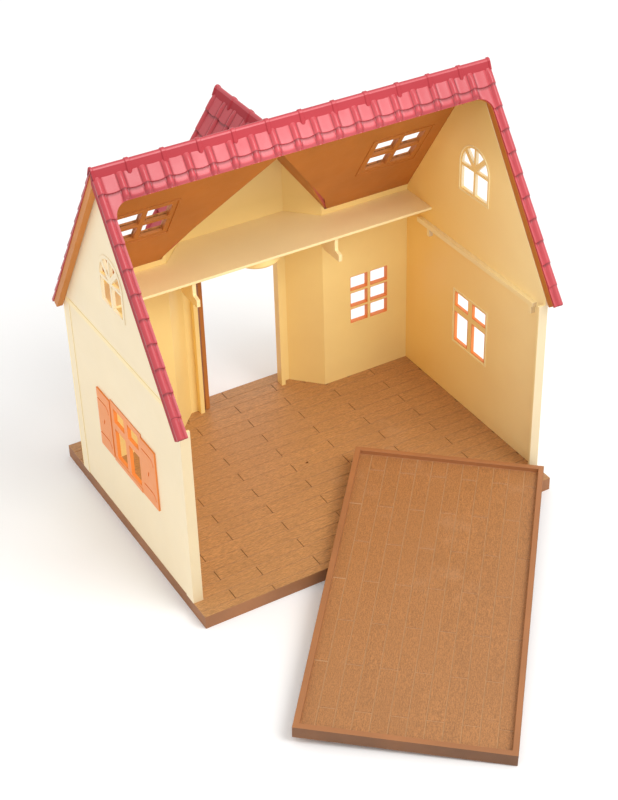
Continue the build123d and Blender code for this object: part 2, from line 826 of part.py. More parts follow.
def make_door_knobs():
    """A round knob on each face of the door."""
    far_y = door_axis_y + door_half_width - door_gap - door_axis_x
    knobs = []
    for side in (-1, 1):
        face = door_axis_x + side * door_thickness / 2
        stem = Rot(0, 90, 0) * Cylinder(knob_stem_radius, knob_stem_length)
        ball = Pos(side * (knob_stem_length / 2 + knob_radius * 0.7), 0, 0) * Sphere(knob_radius)
        place = Pos(face + side * knob_stem_length / 2, far_y - knob_inset, knob_height_z)
        knobs.append(place * (stem + ball))
    return Compound(children=knobs)


def make_door_hinge_pins():
    """Two short pins that turn in the floor and in the door's head."""
    pins = []
    for z, side in ((base_height + door_gap, -1), (door_head_z - door_gap, 1)):
        pin = Cylinder(hinge_pin_radius, hinge_pin_reach)
        pins.append(Pos(door_axis_x, door_axis_y, z + side * hinge_pin_reach / 2) * pin)
    return Compound(children=pins)


def make_loft_shelf():
    """Cream shelf behind the upper floor, with the two brackets under it."""
    plan = [
        (-gable_inner_x, shelf_front_y),
        (gable_inner_x, shelf_front_y),
        (gable_inner_x, facade_inner_y),
        (bay_foot_half_width, facade_inner_y),
        (bay_half_width, bay_inner_y),
        (-bay_half_width, bay_inner_y),
        (-bay_foot_half_width, facade_inner_y),
        (-gable_inner_x, facade_inner_y),
    ]
    shelf = prism_z(plan, shelf_underside_z, shelf_top_z)
    front_y = shelf_front_y + bracket_setback
    nose_y = shelf_front_y - bracket_nose_reach
    nose_bottom_z = rail_top_z - bracket_nose_drop
    heel_z = rail_top_z - bracket_heel_drop
    outline = [
        (front_y, shelf_underside_z),
        (front_y, rail_top_z + bracket_nose_rise),
        (nose_y, rail_top_z),
        (nose_y, nose_bottom_z),
        (nose_y + bracket_nose_length, nose_bottom_z),
        (shelf_front_y + bracket_heel_setback, heel_z),
        (facade_inner_y, heel_z),
        (facade_inner_y, shelf_underside_z),
    ]
    inner_x = bay_foot_half_width - bracket_inset
    bracket = prism_x(outline, inner_x, inner_x + bracket_thickness)
    return shelf + bracket + mirror_x(bracket)


def make_ceiling_rose():
    """Round moulding under the shelf, in front of the door."""
    rose = Cylinder(rose_radius, rose_drop)
    rose = chamfer(rose.faces().sort_by(Axis.Z)[0].edges(), rose_rim)
    rose_y = shelf_front_y + rose_setback + rose_radius
    return Pos(0, rose_y, shelf_underside_z - rose_drop / 2) * rose


def plank_grooves(length, width, board, first, joint_shift, first_joint, top):
    """Grooves between planks that run along x, with staggered joints across them."""
    floor = top - groove_depth
    grooves = []
    row = 0
    y = first - board
    while y < width:
        if y > 0:
            low = (0, y - groove_width / 2, floor)
            grooves.append(box_between(low, (length, y + groove_width / 2, top + 1)))
        start = (joint_shift + (row % 2) * plank_length / 2) % plank_length
        count = math.ceil((length - start) / plank_length)
        joints = [start + plank_length * index for index in range(count)]
        joints[0] = max(start, first_joint)
        for x in joints:
            low = (x - groove_width / 2, max(y, 0), floor)
            high = (x + groove_width / 2, min(y + board, width), top + 1)
            grooves.append(box_between(low, high))
        row += 1
        y += board
    return grooves


def framed_block(length, width, margin, z_low, z_high):
    """A block inside a plate's outline, the same margin from all four of its sides."""
    return box_between((margin, margin, z_low), (length - margin, width - margin, z_high))


def underside_ribs(length, width, skirt, rib, rows, columns, top):
    """Crossed ribs below a hollow plate, from its lower edge up to its skin."""
    ribs = []
    for index in range(1, columns + 1):
        x = length * index / (columns + 1)
        ribs.append(box_between((x - rib / 2, skirt, 0), (x + rib / 2, width - skirt, top)))
    for index in range(1, rows + 1):
        y = width * index / (rows + 1)
        ribs.append(box_between((skirt, y - rib / 2, 0), (length - skirt, y + rib / 2, top)))
    return ribs


def floor_slots():
    """Shallow pockets at the foot of the walls, on both sides of the house."""
    half = tab_slot_length / 2
    places = [((gable_inner_x - tab_slot_width, y - half), (gable_inner_x, y + half)) for y in gable_slot_y]
    for x in (facade_slot_x, cheek_slot_x):
        places.append(((x - half, facade_inner_y - tab_slot_width), (x + half, facade_inner_y)))
    cheek_slope = bay_depth / bay_cheek_run
    cheek_y = facade_inner_y + (bay_foot_half_width - mid_cheek_slot_x) * cheek_slope
    places.append(((mid_cheek_slot_x - half, cheek_y - half), (mid_cheek_slot_x, cheek_y)))
    low_z = base_height - tab_slot_depth
    slots = []
    for low, high in places:
        slot = box_between((*low, low_z), (*high, base_height + 1))
        slots += [slot, mirror_x(slot)]
    return slots


def make_base_plate():
    """Brown base: a plank floor on a hollow, ribbed plate."""
    length = base_width
    width = base_depth
    hollow_top = base_height - base_skin
    plate = box_between((0, 0, 0), (length, width, base_height))
    plate -= framed_block(length, width, base_skirt, -1, hollow_top)
    plate += underside_ribs(
        length, width, base_skirt, base_rib, base_rib_rows, base_rib_columns, hollow_top
    )
    plate += Pos(length / 2, width / 2, hollow_top / 2) * Cylinder(base_boss_radius, hollow_top)
    plate -= plank_grooves(
        length, width, base_plank_width, base_first_plank, base_joint_shift, base_first_joint, base_height
    )
    plate = Pos(-length / 2, -width / 2, 0) * plate
    plate -= floor_slots()
    plate -= Pos(*middle_hole_place, base_height) * Cylinder(middle_hole_radius, 2 * base_skin)
    hole = Cylinder(hinge_pin_radius + hinge_pin_clearance, 4 * base_skin)
    return plate - Pos(door_axis_x, door_axis_y, base_height) * hole


def make_upper_floor():
    """Brown tray floor, leaning on the base's front edge with one corner on the table."""
    recess_z = tray_height - tray_recess
    hollow_top = recess_z - tray_skin
    tray = box_between((0, 0, 0), (tray_length, tray_width, tray_height))
    tray -= framed_block(tray_length, tray_width, tray_skirt, -1, hollow_top)
    tray -= framed_block(tray_length, tray_width, tray_rim, recess_z, tray_height + 1)
    tray += underside_ribs(
        tray_length, tray_width, tray_skirt, tray_rib, tray_rib_rows, tray_rib_columns, hollow_top
    )
    recess = framed_block(tray_length, tray_width, tray_rim, recess_z - 1, tray_height)
    grooves = plank_grooves(
        tray_length, tray_width, tray_plank_width, tray_first_plank,
        tray_joint_shift, tray_first_joint, recess_z,
    )
    for groove in grooves:
        tray -= groove & recess
    turn = math.radians(tray_turn)
    corner_x = gable_inner_x - tray_side_gap + tray_length * math.sin(turn)
    corner_reach = tray_length * math.cos(turn) - tray_lap
    tilt = math.atan2(base_height, corner_reach)
    long_way = (-math.sin(turn), math.cos(turn) * math.cos(tilt), math.cos(turn) * math.sin(tilt))
    upward = (0, -math.sin(tilt), math.cos(tilt))
    corner = (corner_x, -base_depth / 2 - corner_reach, 0)
    origin = [corner[i] + rest_gap * upward[i] for i in range(3)]
    lean = Plane(origin=origin, x_dir=long_way, z_dir=upward)
    return lean * tray


def export(name, part):
    """Writes one piece to its own file."""
    export_step(part, "parts/" + name + ".step")


def main():
    """Makes every piece and writes it."""
    os.makedirs("parts", exist_ok=True)
    export("base_plate", make_base_plate())
    right_gable = make_right_gable_wall()
    export("right_gable_wall", right_gable)
    export("left_gable_wall", mirror_x(right_gable))
    export("facade_wall", make_facade_wall())
    export("loft_shelf", make_loft_shelf())
    export("ceiling_rose", make_ceiling_rose())
    roof = make_main_roof()
    dormer = make_dormer_roof(roof)
    export("main_roof", roof)
    export("ridge_cap", make_ridge_cap(roof))
    export("dormer_roof", dormer)
    export("dormer_ridge_cap", make_dormer_ridge_cap(roof, dormer))
    export("roof_liner", make_roof_liner())
    export("dormer_liner", make_dormer_liner())
    casing = make_right_window_casing()
    export("right_window_casing", casing)
    export("left_window_casing", mirror_x(casing))
    for name, side in (("rear", 1), ("front", -1)):
        shutter = make_right_shutter(side)
        export("right_" + name + "_shutter", shutter)
        export("left_" + name + "_shutter", mirror_x(shutter))
    facade_window = make_right_facade_window()
    export("right_facade_window", facade_window)
    export("left_facade_window", mirror_x(facade_window))
    export("door_leaf", make_door_leaf())
    export("door_knobs", make_door_knobs())
    export("door_hinge_pins", make_door_hinge_pins())
    export("upper_floor", make_upper_floor())


main()
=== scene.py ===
"""Finishes for a toy cottage: moulded roof tiles, ridge caps, trims, wood-effect floors and plain walls."""

import math

import bmesh
import bpy
import numpy as np
from bpy.props import FloatProperty, FloatVectorProperty, PointerProperty
from mathutils import Matrix, Vector


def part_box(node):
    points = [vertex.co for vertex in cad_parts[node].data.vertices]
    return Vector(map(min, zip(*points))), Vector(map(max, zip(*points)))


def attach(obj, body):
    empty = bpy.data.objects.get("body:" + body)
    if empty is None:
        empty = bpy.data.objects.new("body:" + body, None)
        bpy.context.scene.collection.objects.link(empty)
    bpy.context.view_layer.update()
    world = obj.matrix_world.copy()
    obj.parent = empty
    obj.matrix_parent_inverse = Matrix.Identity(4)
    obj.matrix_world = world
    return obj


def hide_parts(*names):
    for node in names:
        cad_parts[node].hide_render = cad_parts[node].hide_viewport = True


bl_info = {
    "name": "Toy Cottage",
    "version": (1, 0, 0),
    "blender": (4, 5, 0),
    "location": "View3D > Sidebar > Cottage",
    "description": "Builds the tiled roof, trims, floors and walls of a toy cottage around its frame",
    "category": "Object",
}

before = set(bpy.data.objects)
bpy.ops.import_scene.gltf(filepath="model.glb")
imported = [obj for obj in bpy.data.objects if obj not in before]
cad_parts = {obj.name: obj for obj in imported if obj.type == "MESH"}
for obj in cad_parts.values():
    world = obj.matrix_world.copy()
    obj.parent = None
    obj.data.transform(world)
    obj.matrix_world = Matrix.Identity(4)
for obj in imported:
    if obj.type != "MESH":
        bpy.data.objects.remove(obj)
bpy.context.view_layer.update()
MM = 0.001
SHARP_ANGLE = math.radians(32.0)
MERGE_DISTANCE = 0.002
PLACE_DIGITS = 4

# Parts of a unit normal: a face looks along an axis over the first, and inwards under the last, is
# steep under the second and level over the third
FACING = 0.7
STEEP = 0.5
LEVEL = 0.9
INWARD = 0.05

# Places taken from the frame, in millimetres
ROOF_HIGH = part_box("main_roof")[1] / MM
LINER_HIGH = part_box("roof_liner")[1] / MM
DORMER_LINER_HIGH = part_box("dormer_liner")[1] / MM
CAP_LOW, CAP_HIGH = (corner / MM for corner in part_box("ridge_cap"))
DORMER_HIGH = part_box("dormer_roof")[1] / MM
GABLE_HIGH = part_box("right_gable_wall")[1] / MM
BASE_LOW, BASE_HIGH = (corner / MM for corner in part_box("base_plate"))

# Roof sizes, in millimetres
ROOF_PITCH = math.radians(55.9)
SLOPE_RUN = math.cos(ROOF_PITCH)
SLOPE_FALL = math.sin(ROOF_PITCH)
ROOF_SKIN = 1.0
ROOF_RUN = 84.3
SLOPE_LENGTH = ROOF_RUN / SLOPE_RUN
ROOF_HALF_LENGTH = ROOF_HIGH.x
RIDGE_Y = (CAP_LOW.y + CAP_HIGH.y) / 2
RIDGE_Z = LINER_HIGH.z + ROOF_SKIN / SLOPE_RUN
DORMER_HALF_WIDTH = 68.05
DORMER_SLOPE_LENGTH = DORMER_HALF_WIDTH / SLOPE_RUN
DORMER_RIDGE_Z = DORMER_LINER_HIGH.z + ROOF_SKIN / SLOPE_RUN
DORMER_FRONT_Y = DORMER_HIGH.y
DORMER_START = 4.0
DORMER_ROLL_START = 7.0
VALLEY_APEX_Y = RIDGE_Y + (RIDGE_Z - DORMER_RIDGE_Z) * SLOPE_RUN / SLOPE_FALL
RAKE_WIDTH = 6.2
CORNER_RADIUS = 9.0
CORNER_SHARE = 0.6
SKIRT_DEPTH = 4.8
SKIRT_THICKNESS = 1.0
SKIRT_SINK = 0.3
CUT_REACH = 200.0
OPENING_SPARE = 20.0
OPENING_DEPTH = 12.0
PANE_DEPTH = 8.0
DORMER_SPARE = 30.0
TRIM_EDGE = 0.3
THIN_EDGE = 0.2
PIN_EDGE = 0.15
KNOB_EDGE = 0.1
SURROUND_EDGE = 0.35

# Tiles: courses, then lips, then rolls and the creases beside them
FIRST_COURSE = 14.7
DORMER_FIRST_COURSE = 15.6
COURSE_LENGTH = 13.75
COURSE_SHARES = (0.0, 0.12, 0.35, 0.6, 0.8)
TILE_LOW = 0.15
LIP_LENGTH = 0.6
LIP_ROWS = ((LIP_LENGTH + 0.5, 0.0), (LIP_LENGTH, 0.06), (LIP_LENGTH * 0.5, 0.5), (0.12, 0.94))
PAN_SHARES = np.array([0.03, 0.07, 0.12, 0.25, 0.5, 0.75, 0.88, 0.93, 0.97])
PAN_DISH = 0.1
DISH_LOST = 0.4
BOW_LIFT = 0.15
BOW_FADE = 2.0
ROLL_TURNS = np.radians([-90, -64, -42, -20, 0, 20, 42, 64, 90])
ROLL_SINK = 0.4
ROLL_EDGE_INSET = 2.1
ROLL_TAPER = 0.35
ROLL_ARCH = 0.6
ROLL_FADE = 2.2
CREASE_REACH = 0.75
CREASE_DEPTH = 0.3
# The next four shape the painted shade in the creases: its gain below a lip, its strength on pans and rakes,
# and where a roll's foot starts
CREASE_GAIN = 1.6
PAN_CREASE = 0.9
RAKE_CREASE = 0.25
ROLL_FOOT = 0.9

# Rows near the ridge: the rolls rise from the first, the tiles bow from the second, and courses
# have no rows above the third
ROLL_START = 4.2
BOW_START = 5.4
COVERED_LENGTH = 6.0

# The front strip's rounded lower edge, with painted shade over its turned-down part
STRIP_LENGTH = 20.5
STRIP_LIP_START = 16.9
STRIP_ROWS = (STRIP_LIP_START, 17.9, 18.6, 19.3, 20.0, 20.6, 21.4)
STRIP_OVERRUN = 1.5
STRIP_FADE = 4.0
STRIP_TURN = 0.96
STRIP_DROP = 1.9
STRIP_CREASE = 0.5
LOWEST_TILE = -0.8

# Ridge caps: the wing's edge has steps back from its end, each with its height over the slope
CAP_REACH = 6.0
CAP_RELIEF = 1.1
CAP_INNER = -0.5
CAP_EDGE = ((0.0, 0.05), (0.15, 0.28), (0.5, 0.42))
CAP_SHOULDER = 0.9
CAP_SHOULDER_RELIEF = 1.3
CAP_BAND_RELIEF = 0.55
CAP_BAND_HALF_WIDTH = 1.3
CAP_BAND_LEVEL = 0.12
CAP_BAND_SOFT = 0.25
CAP_PITCH = 21.1
CAP_POINT_REACH = 7.5
CAP_POINT_HALF_WIDTH = 2.3
CAP_POINT_SOFT = 0.3
CAP_LINES = np.array([
    0.2, 0.6, 1.0, CAP_BAND_HALF_WIDTH, CAP_BAND_HALF_WIDTH + CAP_BAND_SOFT, 2.0,
    CAP_POINT_HALF_WIDTH, CAP_POINT_HALF_WIDTH + CAP_POINT_SOFT,
])
CAP_PLAIN_END = 4.0
CAP_FOOT = 0.6
BEAD_SINK = 0.8
BEAD_TURN = math.radians(72)
WING_DROP = 0.25
DORMER_CAP_INSET = 3.2

# Skylights
SKYLIGHT_CENTRES = (44.5 - ROOF_HALF_LENGTH, ROOF_HALF_LENGTH - 37.0)
SKYLIGHT_FIRST_ROW = 64.2
SKYLIGHT_PANE_WIDTH = 15.6
SKYLIGHT_PANE_LENGTH = 13.7
SKYLIGHT_BAR = 3.5
SKYLIGHT_ROW_BAR = 3.0
REVEAL_REACH = 0.05
CURB_WIDTH = 3.4
CURB_SINK = 0.5
CURB_RELIEF = 1.9

# Walls
GABLE_INSIDE = 120.8
GABLE_SKIN = 1.2
WALL_REAR = GABLE_HIGH.y
# The rail inside the gables takes the paler cream as a painted highlight
RAIL_TOP = 128.3
RAIL_REACH = 8.4
RAIL_SKIN = 0.05
WALL_EDGE = 0.7
ROSE_EDGE = 2.0
BAR_INSET = 0.3
# The storey rib, the corner band's lines and their strength place a painted highlight on the outer walls
STOREY_RIB = (136.6, 140.3)
CORNER_BAND = 9.0
CORNER_EDGE = 1.6
CORNER_LINE = (-0.3, 0.5)
RIB_FADE = 0.4
BAND_HIGHLIGHT = 0.8
# The rooms' front and rear, and the shade heights, place painted shade: deeper towards the back of the rooms
# and darker up under the roof
ROOM_FRONT = -80.0
ROOM_REAR = 45.0
GABLE_SHADE = (190.0, 235.0, 0.8)
FACADE_SHADE = (136.0, 152.0, 0.4)
SHADE_LEFT = 0.68
ARCH_SILL = 169.4
ARCH_SPRING = 186.6
ARCH_RADIUS = 13.6
WINDOW_MIDDLE = -7.2
WINDOW_HALF = 16.6
WINDOW_LOW = 55.5
WINDOW_HIGH = 91.8
RIDGE_OFFSETS = (1.2, 1.5, 2.1, 2.4)
RIDGE_RELIEF = 0.45
RIDGE_SINK = 0.2

# Planks, and the depths under their level between which the floors of their joints lie
PLANK_LENGTH = 66.8
BASE_PLANK_WIDTH = 9.48
BASE_FIRST_PLANK = 5.09
BASE_JOINT_SHIFT = 46.1
TRAY_PLANK_WIDTH = 9.68
TRAY_FIRST_PLANK = 11.5
TRAY_JOINT_SHIFT = 19.4
TRAY_TURN = math.radians(-39.75)
TRAY_REACH = 178.7
TRAY_FLOOR = 4.9
FLOOR_EDGE = 0.16
GROOVE_DEPTHS = (0.1, 0.6)
ROW_SHIFT = -0.5
SEAM_REACH = 0.4
RIM_RISE = 0.2
UNDERSIDE_DEPTH = 1.0
SIDE_REACH = 40.0
SIDE_SLACK = 0.05

# Patterns of the plastics, as spots in a metre with their detail and roughness, and bumps, as
# strength and height in metres
ABS_IOR = 1.53
CLOUDS = (28.0, 4.0)
WEAR_SPOTS = (60.0, 5.0, 0.65)
WAVES = (90.0, 1.0)
GRAIN_DETAIL = 2.0
POLISH = 0.06
DULLING = 0.1
CLOUD_SPAN = (0.3, 0.7)
WEAR_SPAN = (0.3, 0.75)
PALE_CLOUD = 0.6
WAVE_BUMP = (0.25, 0.0006)
GRAIN_HEIGHT = 0.0001

# Patterns of the wood figure, with their detail and roughness: clouds and scuffs as spots in a metre,
# grain and pores as spots in a step of the figure, and how much finer the pores are each way
WOOD_CLOUDS = (30.0, 4.0)
WOOD_SCUFFS = (24.0, 7.0, 0.75)
WOOD_GRAIN = (1.0, 4.0, 0.7)
WOOD_PORES = (1.0, 3.0, 0.7)
PORE_FIGURE = (3.2, 1.15)

# Layers of the wood figure: a pattern, its range, how much is mixed in at both ends, and the shade
WOOD_GROUND = 0.7
FIGURE_LAYERS = (
    ("grain", 0.32, 0.68, 0.0, 1.0, 1.3), ("pores", 0.5, 0.64, 0.0, 0.7, 0.5),
    ("pores", 0.36, 0.49, 0.5, 0.0, 1.55),
)
WEAR_LAYERS = (("cloud", 0.35, 0.7, 0.0, 0.35, 0.84),)
PLANK_SHADES = (0.9, 1.08)
PLANK_SHARE = 0.22
SCUFF_LAYER = (0.58, 0.8, 0.0, 0.18)
SCUFF_SPAN = (0.35, 0.75)
SCUFF_COLOUR = "#E0BC98"
SCUFF_ROUGHNESS = (0.42, 0.62)
# The seams between rows are lightened: partly pale scuffs, partly painted light against the shade in the
# grooves
SEAM_HALF_WIDTH = 0.045
BASE_SEAMS = 0.5
TRAY_SEAMS = 0.6
BASE_FIGURE = (8.0, 15.0)
TRAY_FIGURE = (18.0, 14.0)
WOOD_ROUGHNESS = 0.5
GRAIN_BUMP = (0.45, 0.0002)
PORE_BUMP = (0.35, 0.00015)

# The roof's creases: how much of the painted shade is mixed in, and what is left of the red there
CREASE_SHARE = 0.8
CREASE_SHADE = 0.35

# Plain plastics: colour, the part of it kept, roughness, clouds, specular level, grain and its strength
PLASTICS = {
    # Walls: a satin face, with broad soft lights and hardly a cloud
    "cream_moulded_abs": ("cream_outside", 1.0, 0.45, 0.03),
    # Inner faces of facade and rose: a warmer copy of the wall cream, painted bounce light from the rooms
    "warm_cream_moulded_abs": ("cream_inside", 1.0, 0.42, 0.05),
    # Front faces of the gables: a darker copy of the cream, painted shade
    "front_cream_moulded_abs": ("cream_front", 1.0, 0.45, 0.03),
    # Shelf, rails and window ridges: a paler cream, which on the rails is a painted highlight
    "pale_cream_moulded_abs": ("cream_pale", 1.0, 0.42, 0.05),
    # Gable insides: pale at the room's front and deeper towards its back, as painted shade
    "yellowed_cream_moulded_abs": ("cream_pale", 1.0, 0.42, 0.05),
    # Outer gable faces, with a painted highlight on the storey rib and corner band lines
    "banded_cream_moulded_abs": ("cream_outside", 1.0, 0.45, 0.03),
    # The roof: a polished mould gives sharp lights on rolls, and a matt one dull narrow sides, their red
    # darkened as painted shade
    "glossy_red_moulded_abs": ("roof_red", 1.0, 0.32, 0.07, 0.5, 0.0005, 0.1),
    "matt_red_moulded_abs": ("roof_red", 0.8, 0.6, 0.05, 0.15),
    # The roof's inside: satin brown, with faint clouds
    "satin_brown_moulded_abs": ("liner_brown", 1.0, 0.5, 0.1),
    "light_brown_moulded_abs": ("verge_brown", 1.0, 0.5, 0.1),
    # Floors away from the planks' figure: duller and cloudier the more they are handled, and their outward
    # sides darker, as painted shade
    "plain_brown_moulded_abs": ("side_brown", 1.0, 0.5, 0.12),
    "worn_brown_moulded_abs": ("side_brown", 0.84, 0.55, 0.25),
    "grimy_brown_moulded_abs": ("side_brown", 0.5, 0.55, 0.25),
    # Joint floors on the base: a dark brown, painted shade in the short grooves
    "dark_joint_abs": ("floor_brown", 0.4, 0.6, 0.1),
    "scuffed_joint_abs": ("seam_tan", 1.0, 0.6, 0.2),
    # Trims and door: satin, evenly coloured, but the trims' narrow sides take a deeper orange as painted
    # shade
    "orange_moulded_abs": ("trim_orange", 1.0, 0.42, 0.04),
    "deep_orange_moulded_abs": ("trim_edge", 1.0, 0.42, 0.04),
    "brown_moulded_abs": ("door_brown", 1.0, 0.45, 0.12),
}

# Camera, fitted to the straight edges of the photograph
CAMERA_PLACE = Vector((-419.6, -755.1, 668.1)) * MM
CAMERA_TURN = math.radians(-29.315)
CAMERA_TILT = math.radians(35.279)
CAMERA_ROLL = math.radians(-1.680)
CAMERA_LENS = 76.02
CAMERA_SENSOR = 36.0
CAMERA_REACH = 20.0

# Stage: a wide floor just under the object, an even white light, and soft lamps with their name,
# place and aim in metres, side in metres and power in watts
STAGE_HALF = 3000.0
STAGE_Z = -0.05
AMBIENT = 0.93
WHITE = (1, 1, 1, 1)
CARD_COLOUR = "#FDFDFC"
CARD_ROUGHNESS = 0.9
LAMPS = (
    ("high_softbox", (0.5, -1.05, 1.3), (0, 0, 0.15), 0.9, 12.8),
    ("room_card", (0.0, -0.08, 0.22), (0, 0.06, 0.09), 0.14, 0.042),
)


def linear(colour):
    """Linear RGBA of an sRGB hex colour such as #C8404A."""
    channels = [int(colour[i:i + 2], 16) / 255 for i in (1, 3, 5)]
    turned = [c / 12.92 if c <= 0.04045 else ((c + 0.055) / 1.055) ** 2.4 for c in channels]
    return (*turned, 1.0)


def colour_property(name, description, colour):
    """A colour that a user may change, with its default given as sRGB hex."""
    return FloatVectorProperty(
        name=name, description=description, subtype="COLOR", size=4, min=0, max=1, default=linear(colour)
    )


def length_property(name, description, millimetres):
    """A length that a user may change, with its default given in millimetres."""
    return FloatProperty(
        name=name, description=description, default=millimetres * MM, unit="LENGTH", subtype="DISTANCE"
    )


class CottageSizes(bpy.types.PropertyGroup):
    """Sizes of the moulded detail."""
    tile_pitch: length_property("Tile pitch", "Distance between two rolls", 13.2)
    tile_lip: length_property("Tile lip", "Height of a tile's lower edge over the roof plane", 0.95)
    tile_bow: length_property("Tile bow", "How far the middle of a tile's lower edge hangs down", 0.7)
    roll_radius: length_property("Roll radius", "Radius of the rolls between columns of tiles", 1.9)
    soft_edge: length_property("Soft edge", "Radius of moulded edges on walls and trims", 0.3)
    bead_radius: length_property("Bead radius", "Radius of the bead along a ridge cap", 1.5)


class CottageColours(bpy.types.PropertyGroup):
    """Colours of the moulded plastics."""
    cream_outside: colour_property("Cream, outside", "Outer faces of the walls", "#F7E4BF")
    # Cream, inside is painted bounce light: the walls' cream made warmer on their inner faces
    cream_inside: colour_property("Cream, inside", "Inner faces of the facade, and the rose", "#FFE094")
    # Cream, front is painted shade: a darker copy of the outer cream for faces that look to the front
    cream_front: colour_property("Cream, front", "Front edges of the gable walls", "#E4D0A8")
    # Cream, pale is also a painted highlight on the rails and storey rib, and the lit front of the rooms'
    # painted shade
    cream_pale: colour_property("Cream, pale", "Shelf, rails and the front of the rooms", "#FFE8AE")
    # Cream, deep is painted shade: the back of the rooms and the walls up under the roof
    cream_deep: colour_property("Cream, deep", "Back of the gable walls inside", "#FFD67C")
    roof_red: colour_property("Roof red", "Tiles and ridge caps", "#BD3F47")
    liner_brown: colour_property("Liner brown", "Inside of the roof", "#B86E28")
    verge_brown: colour_property("Verge brown", "Bars along the roof's ends", "#CB7D2C")
    floor_brown: colour_property("Floor brown", "Planks of the base", "#B98652")
    tray_brown: colour_property("Tray brown", "Planks of the upper floor", "#AC7543")
    side_brown: colour_property("Side brown", "Plain rims and sides of the floors", "#A76D40")
    # Seam tan is partly scuffs and partly painted light in the grooves between rows
    seam_tan: colour_property("Seam tan", "Scuffed seams between planks", "#C69C70")
    trim_orange: colour_property("Trim orange", "Faces of shutters and window trims", "#EF9452")
    # Trim edge is painted shade: a deeper copy of the trim orange for narrow sides
    trim_edge: colour_property("Trim edge", "Narrow sides of shutters and window trims", "#F08A3A")
    door_brown: colour_property("Door brown", "Door leaf", "#BB7533")


def chosen_size(name):
    """One of the user's lengths, in millimetres."""
    return getattr(bpy.context.scene.cottage_sizes, name) / MM


def chosen_colour(name):
    """One of the user's colours, as linear RGBA."""
    return tuple(getattr(bpy.context.scene.cottage_colours, name))


def fill_mesh(name, points, faces):
    """A mesh object from points in millimetres and a list of face arrays, one array per corner count.

    The signed volume, a sum of corner triple products, tells whether the faces point inwards, and
    then every face is reversed."""
    points = np.asarray(points, float).reshape(-1, 3) * MM
    groups = [np.asarray(group, int) for group in faces]
    volume = 0.0
    for group in groups:
        first = points[group[:, 0]]
        for i in range(1, group.shape[1] - 1):
            volume += np.einsum("ij,ij->", first, np.cross(points[group[:, i]], points[group[:, i + 1]]))
    if volume < 0:
        groups = [group[:, ::-1] for group in groups]
    corners = np.concatenate([group.ravel() for group in groups])
    sizes = np.concatenate([np.full(len(group), group.shape[1]) for group in groups])
    starts = np.concatenate([[0], np.cumsum(sizes)[:-1]])
    mesh = bpy.data.meshes.new(name)
    mesh.vertices.add(len(points))
    mesh.vertices.foreach_set("co", points.astype(np.float32).ravel())
    mesh.loops.add(len(corners))
    mesh.loops.foreach_set("vertex_index", corners.astype(np.int32))
    mesh.polygons.add(len(sizes))
    mesh.polygons.foreach_set("loop_start", starts.astype(np.int32))
    mesh.update(calc_edges=True)
    mesh.validate()
    piece = bpy.data.objects.new(name, mesh)
    bpy.context.scene.collection.objects.link(piece)
    soften_shading(piece)
    return piece


def soften_shading(piece):
    """Smooth shading with edges over the sharp angle kept sharp."""
    mesh = piece.data
    mesh.polygons.foreach_set("use_smooth", np.ones(len(mesh.polygons), bool))
    mesh.set_sharp_from_angle(angle=SHARP_ANGLE)
    mesh.update()


def ring_faces(points):
    """Faces of a closed ring of rows, each row a line of columns, with a cap at both ends.

    Row r and column c hold point r * columns + c. The ring's first and last columns are the caps."""
    rows, columns = points.shape[:2]
    index = np.arange(rows * columns).reshape(rows, columns)
    after = np.roll(index, -1, axis=0)
    quads = np.stack([index[:, :-1], index[:, 1:], after[:, 1:], after[:, :-1]], -1).reshape(-1, 4)
    caps = np.stack([index[::-1, 0], index[:, -1]])
    return [quads, caps]


def prism_shell(outline, low, high, place):
    """A closed prism: an outline of (a, b) points between two levels, placed by a function of a, b, c."""
    outline = np.asarray(outline, float)
    count = len(outline)
    points = [place(outline[:, 0], outline[:, 1], float(level)) for level in (low, high)]
    around = np.arange(count)
    after = np.roll(around, -1)
    sides = np.stack([around, after, after + count, around + count], -1)
    ends = np.stack([around[::-1], around + count])
    return np.concatenate(points), [sides, ends]


def stacked(*places):
    """Points from their x, y and z, which are spread over one another's rows and columns."""
    return np.stack(np.broadcast_arrays(*places), -1)


def across_x(a, b, c):
    """Point of an outline in y and z, at a level in x."""
    return stacked(c, a, b)


def across_y(a, b, c):
    """Point of an outline in x and z, at a level in y."""
    return stacked(a, c, b)


def off_ridge(along, out):
    """Level distance from the ridge, and height over it, of a place down the slope and out from it."""
    return along * SLOPE_RUN + out * SLOPE_FALL, out * SLOPE_RUN - along * SLOPE_FALL


def on_slope(side, x, along, out):
    """World point of a place x along the ridge, down the slope and out from the tile plane."""
    run, height = off_ridge(along, out)
    return stacked(x, RIDGE_Y + side * run, RIDGE_Z + height)


def on_front_slope(x, along, out):
    """The same on the open front slope."""
    return on_slope(-1, x, along, out)


def on_rear_slope(x, along, out):
    """The same on the closed rear slope."""
    return on_slope(1, x, along, out)


def on_dormer(side, x, along, out):
    """The same on the dormer, whose ridge runs along y: x is the place along that ridge."""
    run, height = off_ridge(along, out)
    return stacked(side * run, x, DORMER_RIDGE_Z + height)


def kept_lines(lines, low, high):
    """Sorted lines between two ends, with the ends and without doubles."""
    lines = np.append(lines.ravel(), [low, high])
    return np.unique(np.round(lines[(lines >= low) & (lines <= high)], PLACE_DIGITS))


def tile_lines(rolls, low, high):
    """Lines across a slope: nine over each roll, evenly turned, and nine over each pan."""
    radius = chosen_size("roll_radius")
    over_rolls = rolls[:, None] + radius * np.sin(ROLL_TURNS)
    starts = rolls[:-1] + radius
    widths = rolls[1:] - radius - starts
    over_pans = starts[:, None] + widths[:, None] * PAN_SHARES
    return kept_lines(np.append(over_rolls, over_pans), low, high)


